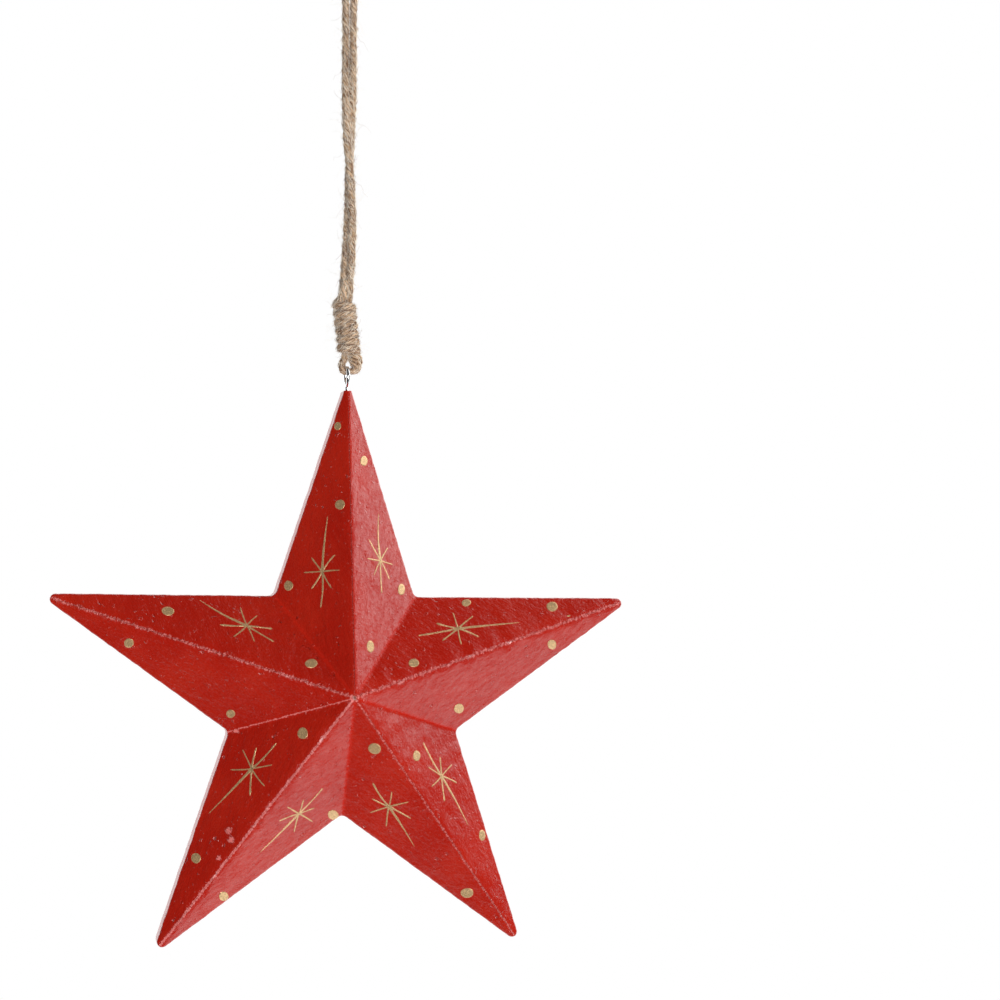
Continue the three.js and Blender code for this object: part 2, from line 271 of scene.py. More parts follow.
@cache
def red_paint():
    """Gloss red brushed over sanded wood: streaks and pores in the brush's way, painted glints on the
    ridges, a painted highlight along the valleys.
    """
    red = settings().finish.red
    material, g, shader = new_material("red_painted_wood", IOR=1.5, Coat_Roughness=0.10, Coat_IOR=1.5)
    arm, brush, place = g.uv("arm"), g.uv("brush"), g.place()
    ridge, edge, heart, valley, wall = map(g.attribute, ("ridge", "edge", "heart", "valley", "wall"))
    wander = g.value("ShaderNodeTexNoise", None, output=1, Vector=brush, Scale=12.0)
    bent = g.vector("ADD", brush, g.vector("SCALE", wander, scale=0.008))
    streaks = g.noise(g.stretched(bent, 0.36), 88.0, 2.0, 0.55)
    fine = g.noise(g.stretched(bent, 0.4), 240.0, 2.0, 0.6)
    cloud = g.noise(place, 45.0, 3.0)
    swell = g.noise(g.stretched(bent, 0.45), 26.0)
    peel = g.noise(place, 1000.0, 2.0, 0.6)
    grit = g.noise(place, 2600.0, 3.0, 0.75)
    pimples = g.step(g.noise(place, 620.0, 1.0), 0.66, 0.76)
    pore_cells = g.value("ShaderNodeTexVoronoi", None, Vector=g.stretched(brush, 0.45), Scale=40.0)
    pores = (1.0 - g.step(pore_cells, 0.06, 0.18)) * g.step(g.noise(brush, 21.0), 0.50, 0.60)
    bars = g.noise(g.stretched(arm, 1.0, 0.35), 125.0, 3.0, 0.8)
    # worn is the mask of painted glints on the ridges, along a joint and in a few places; it also roughens
    # and raises the paint
    worn = g.step(ridge + 2.6 * (bars - 0.5) + 1.6 * (grit - 0.5), 0.66, 0.88)
    dust = g.step(g.noise(place, 1500.0, 1.0), 0.74, 0.79)

    base = g.mix(g.step(cloud, 0.35, 0.7), rgba(red, 0.92, 0.8, 0.8), rgba(red, 1.04, 1.2, 1.2))
    base = g.mix(g.step(streaks, 0.48, 0.72) * 0.25, base, rgba(red, 1.1, 2.0, 2.4))
    base = g.mix(pores * 0.2, base, rgba(red, 0.5))
    base = g.mix(dust * 0.35, base, rgba(DUSTY_RED))
    # lighter red along the valleys between arms: a painted highlight on the paint that fills them
    base = g.mix(valley * 0.35, base, rgba(red, 1.4, 1.2, 1.2))
    # painted glints: pale pink specks where the ridges, a joint and a few places catch the light
    base = g.mix(worn * 0.75, base, rgba(GLINT_PINK))
    base = g.mix(g.step(heart * (0.25 + grit), 0.62, 0.72) * 0.6, base, rgba(FILLER))
    roughness = 0.19 + 0.12 * cloud + 0.08 * g.step(fine, 0.4, 0.7) + 0.15 * worn + 0.11 * wall
    height = (0.9 * swell + 0.46 * streaks + 0.18 * fine + 0.30 * peel + 0.30 * pimples - 0.50 * pores
              + 0.22 * worn + 0.12 * edge * peel + 0.08 * grit)
    g.feed(shader, Base_Color=base, Roughness=roughness, Normal=g.bump(height, 0.00045, 1.0 - 0.65 * wall),
           Coat_Weight=(1.0 - wall) * (0.1 + 0.45 * g.step(streaks + 0.4 * (peel - 0.5), 0.36, 0.64)))
    return material


@cache
def gold_paint():
    """Gold paint laid on with a small brush, a little grainy, and more matt than the red."""
    gold = settings().finish.gold
    material, g, shader = new_material("gold_paint", Metallic=0.5)
    flakes = g.noise(g.place(), 3000.0, 2.0, 0.6)
    pool = g.noise(g.place(), 700.0)
    base = g.mix(g.step(flakes, 0.4, 0.7), rgba(gold, 0.62), rgba(gold, 1.18))
    base = g.mix(g.step(pool, 0.55, 0.75) * 0.4, base, rgba(gold, 0.5))
    g.feed(shader, Base_Color=base, Roughness=0.28 + 0.16 * flakes,
           Normal=g.bump(flakes + 0.6 * pool, 0.00006, 0.8))
    return material


@cache
def jute():
    """Jute: pale and dark fibres that follow the lay, with painted shade in the gaps between them and in the
    creases between the strands.
    """
    finish = settings().finish
    material, g, shader = new_material("jute_twine", Specular_IOR_Level=0.15)
    lay = g.node("ShaderNodeSeparateXYZ", None, Vector=g.uv("lay"))
    turn, length = Value(g, lay.outputs[0]) * (2 * pi), Value(g, lay.outputs[1])
    where = g.value("ShaderNodeCombineXYZ", None, X=g.math("COSINE", turn), Y=g.math("SINE", turn),
                    Z=length * 75.0)
    fibres = g.noise(where, 3.2, 3.0, 0.6, 0.35)
    hairs = g.noise(where, 7.5, 2.0, 0.6, 0.5)
    patches = g.noise(g.place(), 210.0)
    # dark streaks along the lay: darker fibres, and painted shade in the gaps between them
    base = g.mix(g.step(fibres + 0.7 * (hairs - 0.5), 0.40, 0.56), rgba(finish.jute_dark),
                 rgba(finish.jute_pale))
    base = g.mix(g.step(hairs, 0.54, 0.68) * 0.6, base, rgba(BLEACHED_JUTE))
    base = g.mix(g.step(patches, 0.5, 0.7) * 0.3, base, rgba(BROWN_JUTE))
    # painted shade in the creases between the strands
    base = g.mix(g.attribute("crease") * 0.25, base, rgba(finish.jute_dark))
    g.feed(shader, Base_Color=base, Roughness=0.82 + 0.12 * hairs,
           Normal=g.bump(fibres + 0.5 * hairs, 0.0003))
    return material


@cache
def loose_fibres():
    """Loose jute fibres, each with a shade of its own."""
    finish = settings().finish
    material, g, shader = new_material("jute_fibres", Specular_IOR_Level=0.2)
    mottle = g.noise(g.place(), 900.0)
    base = g.mix(g.step(g.attribute("shade"), 0.12, 0.55), rgba(finish.jute_dark, 2.0), rgba(FIBRE_TIP))
    base = g.mix(g.step(mottle, 0.5, 0.75) * 0.15, base, rgba(finish.jute_pale))
    g.feed(shader, Base_Color=base, Roughness=0.6 + 0.2 * mottle)
    return material


@cache
def bright_wire():
    """Bright plated wire with faint drawing marks."""
    plating = settings().finish.plating
    material, g, shader = new_material("bright_wire", Metallic=1.0)
    cloud = g.noise(g.place(), 500.0, 3.0)
    fine = g.noise(g.place(), 4200.0)
    base = g.mix(g.step(cloud, 0.45, 0.75) * 0.5, rgba(plating), rgba(plating, 0.7))
    g.feed(shader, Base_Color=base, Roughness=0.13 + 0.12 * cloud,
           Normal=g.bump(fine + cloud, 0.00003, 0.5))
    return material


@cache
def pale_floor():
    material, g, shader = new_material("pale_floor")
    cloud = g.noise(g.place(), 2.0, 3.0)
    g.feed(shader, Base_Color=g.mix(cloud, rgba([0.84] * 3), rgba([0.88] * 3)), Roughness=0.7 + 0.1 * cloud)
    return material


# Meshes


def linked(name, data):
    """An object in the scene."""
    made = bpy.data.objects.new(name, data)
    bpy.context.scene.collection.objects.link(made)
    return made


def smooth_piece(name, data):
    made = linked(name, data)
    data.polygons.foreach_set("use_smooth", [True] * len(data.polygons))
    return made


def piece(name, points, faces, material):
    """A smooth mesh object from points in millimetres."""
    data = bpy.data.meshes.new(name)
    data.from_pydata((np.asarray(points, float) * MM).tolist(), [], faces)
    data.update()
    data.materials.append(material)
    return smooth_piece(name, data)


def turned_out(made, sharp_from, merged=0.0):
    """Turns a closed mesh's faces outwards, after its doubles are merged, and keeps its sharp edges."""
    form = bmesh.new()
    form.from_mesh(made.data)
    if merged:
        bmesh.ops.remove_doubles(form, verts=form.verts, dist=merged)
        bmesh.ops.dissolve_degenerate(form, edges=form.edges, dist=merged / 2)
    bmesh.ops.recalc_face_normals(form, faces=form.faces)
    form.to_mesh(made.data)
    form.free()
    made.data.set_sharp_from_angle(angle=radians(sharp_from))


def joined(shells):
    """Several (points, faces) as one."""
    points, faces, first = [], [], 0
    for shell_points, shell_faces in shells:
        points.append(np.asarray(shell_points, float))
        faces += [tuple(first + k for k in face) for face in shell_faces]
        first += len(shell_points)
    return np.concatenate(points), faces


def bands(rings, count, first=0):
    """Faces between neighbouring rings of so many points."""
    return [(a + j, a + (j + 1) % count, a + count + (j + 1) % count, a + count + j)
            for a in range(first, first + (rings - 1) * count, count) for j in range(count)]


def fan(tip, first, count, inward=False):
    """Faces from a point to a ring, turned over where inward."""
    pairs = [(first + j, first + (j + 1) % count) for j in range(count)]
    return [(tip, b, a) if inward else (tip, a, b) for a, b in pairs]


def add_values(made, **layers):
    for name, values in layers.items():
        layer = made.data.attributes.new(name, "FLOAT", "POINT")
        layer.data.foreach_set("value", np.asarray(values, np.float32))


def add_uv(made, name, places):
    made.data.uv_layers.new(name=name).data.foreach_set("uv", places.ravel())


def wave_noise(seed, wavelength, count=14):
    """Smooth random unevenness, mostly between -1 and 1, over a plane or along a line."""
    draw = np.random.default_rng(seed)
    ways = draw.uniform(0, 2 * pi, count)
    rates = 2 * pi / (wavelength * draw.uniform(0.6, 1.8, count))
    phases = draw.uniform(0, 2 * pi, count)

    def at(x, y=0.0):
        total = sum(np.sin(r * (np.cos(w) * x + np.sin(w) * y) + p) for r, w, p in zip(rates, ways, phases))
        return total / sqrt(count)
    return at


def bell(x, width):
    """1 at 0, and less on both sides."""
    return np.exp(-(x / width) ** 2)


# The twine


def centripetal(controls, parts=24):
    """Points on the centripetal Catmull-Rom curve through the controls."""
    p = np.asarray(controls, float)
    p = np.vstack([2 * p[0] - p[1], p, 2 * p[-1] - p[-2]])
    made = []
    for k in range(1, len(p) - 2):
        p0, p1, p2, p3 = p[k - 1:k + 3]
        d0, d1, d2 = (sqrt(np.linalg.norm(b - a)) for a, b in ((p0, p1), (p1, p2), (p2, p3)))
        m1 = ((p1 - p0) / d0 - (p2 - p0) / (d0 + d1) + (p2 - p1) / d1) * d1
        m2 = ((p2 - p1) / d1 - (p3 - p1) / (d1 + d2) + (p3 - p2) / d2) * d1
        t = (np.arange(parts) / parts)[:, None]
        made.append((2 * t**3 - 3 * t**2 + 1) * p1 + (t**3 - 2 * t**2 + t) * m1
                    + (3 * t**2 - 2 * t**3) * p2 + (t**3 - t**2) * m2)
    return np.vstack([*made, p[-2:-1]])


def evenly(points, step):
    """The same line with its points a step apart, and the length up to each."""
    gone = np.concatenate([[0], np.cumsum(np.linalg.norm(np.diff(points, axis=0), axis=1))])
    at = np.linspace(0, gone[-1], max(2, int(round(gone[-1] / step)) + 1))
    return np.stack([np.interp(at, gone, points[:, k]) for k in range(3)], axis=1), at


def unit(v):
    return v / np.maximum(np.linalg.norm(v, axis=-1, keepdims=True), 1e-12)


def frames_along(points, first=(0, -1, 0)):
    """A tangent and two cross directions at each point, which don't turn about the line."""
    tangent = unit(np.gradient(points, axis=0))
    side = np.zeros_like(points)
    start = np.asarray(first, float)
    side[0] = unit(start - tangent[0] * (start @ tangent[0]))
    for k in range(1, len(points)):
        v1 = points[k] - points[k - 1]
        c1 = v1 @ v1
        turned = side[k - 1] - (2 / c1) * (v1 @ side[k - 1]) * v1
        ahead = tangent[k - 1] - (2 / c1) * (v1 @ tangent[k - 1]) * v1
        v2 = tangent[k] - ahead
        c2 = v2 @ v2
        side[k] = turned - (2 / c2) * (v2 @ turned) * v2 if c2 > 1e-14 else turned
        side[k] = unit(side[k] - tangent[k] * (side[k] @ tangent[k]))
    return tangent, side, np.cross(tangent, side)


STRANDS = 3
GROOVE_WIDTH = 0.13  # half the width of the groove between two strands, as a share of a strand
SLOPE_AT = 0.36  # how far out the slope of the lay is taken, as a share of the thickness
END_BULGE = 0.25  # how far a closed end stands out, as a share of the thickness


def twine_tube(line, thickness, seed, sides=32, step=0.3, frames=frames_along, swell=np.ones_like,
               flat=(1.0, 1.0), cut=0.11):
    """Three-strand twine along a line: points, faces, and what the material and the fibres need.

    flat scales the section along the two cross directions, swell gives the thickness along the line as a
    share, and cut is the depth of the grooves between the strands."""
    lay = settings().twine.lay_length
    points, at = evenly(line, step)
    tangent, side, other = frames(points)
    draw = np.random.default_rng(seed)
    lobe, slack = wave_noise(seed + 1, 9.0), wave_noise(seed + 2, 14.0)
    tangle = wave_noise(seed + 3, 1.3, 18)
    ripples = [(draw.integers(8, 16), draw.uniform(0, 2 * pi), draw.uniform(0.5, 1.0)) for _ in range(6)]
    share = swell(at)
    around = np.arange(sides) / sides * 2 * pi
    place, round_it, crease, ahead = [], [], [], []
    for k, s in enumerate(at):
        turn = 2 * pi * s / lay + 0.35 * slack(s)
        angle = around - turn  # as seen from the strands
        third = (angle / (2 * pi / STRANDS)) % 1.0 - 0.5
        dip = bell(np.abs(third) - 0.5, GROOVE_WIDTH)
        ripple = sum(a * np.sin(n * angle + p + 1.3 * np.sin(s * 0.62 + n)) for n, p, a in ripples)
        ripple = ripple / len(ripples)
        radius = thickness / 2 * share[k] * (
            1.0 + 0.03 * np.cos(2 * pi * third) - cut * dip * (1 + 0.6 * lobe(s + 40, angle)) + 0.12 * ripple
            + 0.05 * lobe(s, angle * 1.5) + 0.028 * tangle(s, (angle + turn) * 1.25))
        place.append(points[k] + np.outer(radius * np.cos(around) * flat[0], side[k])
                     + np.outer(radius * np.sin(around) * flat[1], other[k]))
        round_it.append(angle / (2 * pi))
        crease.append(dip)
        outward = np.outer(-np.sin(around), side[k]) + np.outer(np.cos(around), other[k])
        ahead.append(unit(tangent[k] + outward * (2 * pi * thickness * SLOPE_AT / lay)))
    count = len(at)
    bulge = thickness * END_BULGE
    ends = [points[0] - tangent[0] * bulge, points[-1] + tangent[-1] * bulge]
    faces = (bands(count, sides) + fan(count * sides, 0, sides, inward=True)
             + fan(count * sides + 1, (count - 1) * sides, sides))
    return {"points": np.vstack([*place, ends]), "faces": faces, "uv": lay_map(round_it, at, sides),
            "crease": np.concatenate([*crease, [0, 0]]),
            "along": np.concatenate([*ahead, [tangent[0], tangent[-1]]])}


def lay_map(round_it, at, sides):
    """The tube's UV map: the turn about the strands, and the length along them in metres."""
    here = np.stack([round_it, np.repeat(at[:, None] * MM, sides, axis=1)], axis=2)
    beside = np.roll(here, -1, axis=1)
    beside[:, -1, 0] += 1
    between = np.stack([here[:-1], beside[:-1], beside[1:], here[1:]], axis=2).reshape(-1, 2)
    return np.vstack([between, np.repeat(here[0], 3, axis=0), np.repeat(here[-1], 3, axis=0)])


def twine_piece(name, tubes):
    """One object from one or more tubes of twine."""
    points, faces = joined([(t["points"], t["faces"]) for t in tubes])
    made = piece(name, points, faces, jute())
    add_values(made, crease=np.concatenate([t["crease"] for t in tubes]))
    along = made.data.attributes.new("along", "FLOAT_VECTOR", "POINT")
    along.data.foreach_set("vector", np.concatenate([t["along"] for t in tubes]).astype(np.float32).ravel())
    add_uv(made, "lay", np.concatenate([t["uv"] for t in tubes]))
    return made


@cache
def fibre_tree():
    """Geometry Nodes: loose fibres that start on the twine and follow its lay.

    Hug says how closely a fibre keeps to the surface, from 0 for a stray hair to 1."""
    tree = bpy.data.node_groups.new("loose_fibres", "GeometryNodeTree")
    for kind, names in (("Geometry", ("Twine",)),
                        ("Float", ("Density", "Shortest", "Longest", "Thickness", "Lift", "Curl", "Hug")),
                        ("Int", ("Seed",)), ("Material", ("Finish",))):
        for name in names:
            tree.interface.new_socket(name, in_out="INPUT", socket_type="NodeSocket" + kind)
    tree.interface.new_socket("Fibres", in_out="OUTPUT", socket_type="NodeSocketGeometry")
    g = Graph(tree)
    given = {socket.name: Value(g, socket) for socket in g.node("NodeGroupInput").outputs if socket.name}
    spread = g.node("GeometryNodeDistributePointsOnFaces", None, Mesh=given["Twine"],
                    Density=given["Density"], Seed=given["Seed"])
    points, normal = Value(g, spread.outputs["Points"]), Value(g, spread.outputs["Normal"])

    def random(kind, offset, output=0, **sockets):
        return g.value("FunctionNodeRandomValue", {"data_type": kind}, output,
                       Seed=given["Seed"] + offset, **sockets)

    def chance(low, high, offset):
        return random("FLOAT", offset, 1, i2=low, i3=high)

    def stored(geometry, name, value, domain="INSTANCE"):
        return g.value("GeometryNodeStoreNamedAttribute", {"data_type": "FLOAT", "domain": domain},
                       Geometry=geometry, Name=name, Value=value)

    def read(name, kind="FLOAT"):
        return g.value("GeometryNodeInputNamedAttribute", {"data_type": kind}, Name=name)

    way = g.math("SIGN", chance(-1.0, 1.0, 1.0))
    astray = random("FLOAT_VECTOR", 2.0, i0=(-0.5,) * 3, i1=(0.5,) * 3)
    heading = g.vector("ADD", g.vector("SCALE", read("along", "FLOAT_VECTOR"), scale=way),
                       g.vector("SCALE", normal, scale=given["Lift"] * chance(0.15, 1.0, 3.0)))
    turn = g.value("FunctionNodeAlignRotationToVector", {"axis": "Z"},
                   Vector=g.vector("ADD", heading, astray))
    line = g.value("GeometryNodeCurvePrimitiveLine", None, End=(0, 0, 1))
    line = g.value("GeometryNodeResampleCurve", None, Curve=line, Count=6)
    line = stored(line, "reach", g.value("GeometryNodeSplineParameter"), "POINT")
    length = given["Shortest"] + (given["Longest"] - given["Shortest"]) * chance(0.0, 1.0, 4.0) ** 1.8
    fibres = g.value("GeometryNodeInstanceOnPoints", None, Points=points, Instance=line, Rotation=turn,
                     Scale=g.value("ShaderNodeCombineXYZ", None, X=length, Y=length, Z=length))
    fibres = stored(fibres, "shade", chance(0.0, 1.0, 6.0))
    fibres = stored(fibres, "span", length)
    fibres = stored(fibres, "stout", chance(0.5, 1.1, 5.0))
    fibres = g.value("GeometryNodeRealizeInstances", None, Geometry=fibres)
    place = g.value("GeometryNodeInputPosition")
    wander = g.value("ShaderNodeTexNoise", None, output=1, Vector=place, Scale=420.0, Detail=1.0)
    wander = g.vector("SCALE", g.vector("SUBTRACT", wander, (0.5, 0.5, 0.5)),
                      scale=given["Curl"] * read("span") * read("reach"))
    fibres = g.value("GeometryNodeSetPosition", None, Geometry=fibres, Offset=wander)
    surface = g.value("GeometryNodeProximity", {"target_element": "FACES"}, i0=given["Twine"])
    pulled = g.vector("SCALE", g.vector("SUBTRACT", surface, place), scale=given["Hug"])
    fibres = g.value("GeometryNodeSetPosition", None, Geometry=fibres, Offset=pulled)
    section = g.value("GeometryNodeCurvePrimitiveCircle", None, Resolution=3, Radius=0.5)
    fibres = g.value("GeometryNodeCurveToMesh", None, Curve=fibres, Profile_Curve=section,
                     Scale=given["Thickness"] * read("stout") * (1.0 - 0.6 * read("reach")))
    fibres = g.value("GeometryNodeRealizeInstances", None, Geometry=fibres)
    fibres = g.value("GeometryNodeSetMaterial", None, Geometry=fibres, Material=given["Finish"])
    g.node("NodeGroupOutput", None, Fibres=fibres)
    return tree


FIBRE_KINDS = {
    # seed, share of the number and of the thickness, shortest and longest in millimetres, lift, curl, hug
    "hanging_loop_fibres": (21, 1.0, 1.0, 1.2, 4.0, 0.5, 1.2, 0.65),
    "hanging_loop_stray_hairs": (22, 0.09, 0.5, 1.5, 9.0, 1.2, 1.0, 0.25),
    "binding_fibres": (33, 1.0, 1.0, 1.0, 3.5, 0.5, 1.3, 0.65),
    "binding_stray_hairs": (36, 0.07, 0.5, 1.5, 8.0, 1.2, 1.0, 0.25),
    "eye_bight_fibres": (43, 1.0, 1.0, 1.0, 3.0, 0.5, 1.3, 0.68),
}
PER_SQUARE_METRE = 1e4  # square centimetres in a square metre


def grow_fibres(name, twine):
    """Loose fibres on a piece of twine, as a plain mesh."""
    sizes = settings().twine
    seed, number, thickness, shortest, longest, lift, curl, hug = FIBRE_KINDS[name]
    scratch = linked(name + "_growing", twine.data)
    modifier = scratch.modifiers.new("fibres", "NODES")
    modifier.node_group = fibre_tree()
    inputs = {"Density": sizes.fibres * number * PER_SQUARE_METRE, "Shortest": shortest * MM,
              "Longest": longest * MM, "Thickness": sizes.fibre_thickness * thickness * MM,
              "Lift": lift, "Curl": curl, "Hug": hug, "Seed": seed, "Finish": loose_fibres()}
    for socket in fibre_tree().interface.items_tree:
        if socket.in_out == "INPUT" and socket.name in inputs:
            modifier[socket.identifier] = inputs[socket.name]
    bpy.context.view_layer.update()
    data = bpy.data.meshes.new_from_object(scratch.evaluated_get(bpy.context.evaluated_depsgraph_get()))
    bpy.data.objects.remove(scratch)
    data.name = name
    if len(data.polygons) == 0:
        raise RuntimeError(f"{name}: no fibres grew")
    return smooth_piece(name, data)


STRAND_STATIONS = (
    # below the hook, half the distance between the strands, the way to the first one, shift to the right
    (132.4, 1.42, 330, -0.9), (125, 1.42, 324, -0.7), (114, 1.42, 312, -0.4), (102, 1.42, 296, -0.2),
    (90, 1.42, 272, -0.1), (78, 1.42, 238, 0), (66, 1.45, 206, 0), (54, 1.5, 188, 0), (42, 1.5, 181, 0),
    (33, 1.5, 180, 0), (26, 1.65, 180, 0), (20.5, 2.3, 180, 0), (15, 3.45, 180, 0), (9.5, 4.85, 180, 0),
)
PAIRED_BELOW = 24  # how far below the hook the two strands have come together
TWINE_SHARE = 0.98  # the drawn twine's thickness as a share of the solid's


def loop_controls(pressed=1.0, sway=0.0):
    """The loop's route, up one strand and down the other.

    The paired strands may be pressed together, and may sway to the right above the binding."""
    twine = settings().twine
    top, bend = twine.thickness / 2, twine.loop_bend

    def strand(side):
        points = []
        for below, half, way, shift in STRAND_STATIONS:
            half = half * (pressed if below > PAIRED_BELOW else 1.0)
            shift += sway * exp(-((below - 106) / 22) ** 2)
            points.append((shift + side * half * cos(radians(way)), side * half * sin(radians(way)), -below))
        for angle in (radians(a) for a in (0, 30, 60)):
            points.append((-side * bend * cos(angle), 0.0, top - bend * (1 - sin(angle))))
        return points
    return [*strand(1), (0.0, 0.0, top), *strand(-1)[::-1]]


class Binding:
    """Where the binding lies: a helix that leans to the left at its top."""
    lean, shift, bend_gap, leg_gap = radians(-6.5), -0.25, 0.6, 1.0

    def __init__(self):
        t = settings().twine
        self.pitch = t.thickness + t.turn_gap
        self.length = t.binding_turns * self.pitch + t.thickness
        self.radius = (t.binding_width - t.thickness) / 2
        self.end = t.loop_rise + self.length
        self.foot = self.shift - self.length / 2 * sin(self.lean)
        self.pivot = self.end + t.bight_drop
        self.middle = t.loop_rise + self.length / 2

    def out(self, points):
        """From the binding's own frame, along its axis, to the ornament's."""
        x, y, z = np.asarray(points, float).T
        return np.stack([self.shift + x * cos(self.lean) + z * sin(self.lean), y,
                         -self.middle - x * sin(self.lean) + z * cos(self.lean)], axis=1)


class EyeForm:
    """The screw eye's derived sizes.

    The neck's and the wood's drops are below the ring's middle, and the ring's is below the pivot."""
    play = 0.3  # between the ring's wire and the twine that bends under it
    end_gap = 0.3  # between the neck and the wire's end
    opening = radians(45)

    def __init__(self):
        e, t = settings().eye, settings().twine
        self.ring = (e.outer - e.wire) / 2
        self.neck_drop = self.ring / sin(self.opening)
        self.wood_drop = self.neck_drop + e.neck
        self.ring_drop = self.ring - t.thickness / 2 - self.play - e.wire / 2


def hang():
    """The star's tilt, and the distance from the pivot down to its centre."""
    s, e, eye = settings().star, settings().eye, EyeForm()
    drop = eye.ring_drop + eye.wood_drop + s.tip_radius - s.top_cut
    front = s.apex_rise / 3 / (s.apex_rise / 3 + s.wall_depth)  # the sloping front's share of the weight
    forward = front * s.apex_rise / 4 - (1 - front) * s.wall_depth / 2
    return atan((forward + e.depth) / drop), drop


def hung(points):
    """From the hanging frame, whose origin is the pivot, to the ornament's."""
    tilt = hang()[0]
    x, y, z = np.asarray(points, float).T
    return np.stack([x, y * cos(tilt) - z * sin(tilt),
                     -Binding().pivot + y * sin(tilt) + z * cos(tilt)], axis=1)


def star_place(right, up, front):
    """From the star's own plane to the ornament's frame."""
    right, up, front = np.broadcast_arrays(*(np.asarray(a, float) for a in (right, up, front)))
    back = -settings().eye.depth - front.ravel()
    return hung(np.stack([right.ravel(), back, up.ravel() - hang()[1]], axis=1))


# The wooden arms


RIDGES = {
    # the radius that the arm's ridge is sanded to, then half the width and the strength of its painted
    # glints
    "top_arm": (0.6, 0.5, 0.50), "right_arm": (1.6, 1.05, 0.84), "left_arm": (1.2, 0.9, 0.82),
    "lower_left_arm": (1.3, 0.65, 1.08), "lower_right_arm": (0.9, 0.55, 0.82),
}
CENTRE_ROUND = 0.6  # the radius of every ridge where they meet
GLINTING_JOINT = {"left_arm": 1, "lower_left_arm": -1}  # the side of two arms whose joint gets painted glints as well
HIGHLIGHT_PLACES = {
    # places with a painted highlight and a little relief: where the photograph shows them, and their
    # half-width in millimetres
    ("lower_left_arm", -1): ((228.5, 831, 1.3), (231, 840, 1.3), (219, 858, 0.9), (236, 731, 1.0)),
}
# strength of the painted glints along a joint and of the painted highlight in a few places
JOINT_GLINT, PLACE_HIGHLIGHT = 0.95, 1.3
# how far a look of the paint reaches from an edge, the star's middle, a valley and a joint with painted
# glints
EDGE_REACH, HEART_REACH, VALLEY_REACH, GLINT_REACH = 0.8, 2.0, 0.55, 0.4
# the brush's way across the arm's length, in degrees, where it isn't along the arm's side
BRUSH_WAY = {("right_arm", 1): -48, ("left_arm", -1): -48, ("top_arm", 1): 12, ("top_arm", -1): -12}

WAVES = wave_noise(7, 26.0)
SHORT_WAVES = wave_noise(8, 7.0)


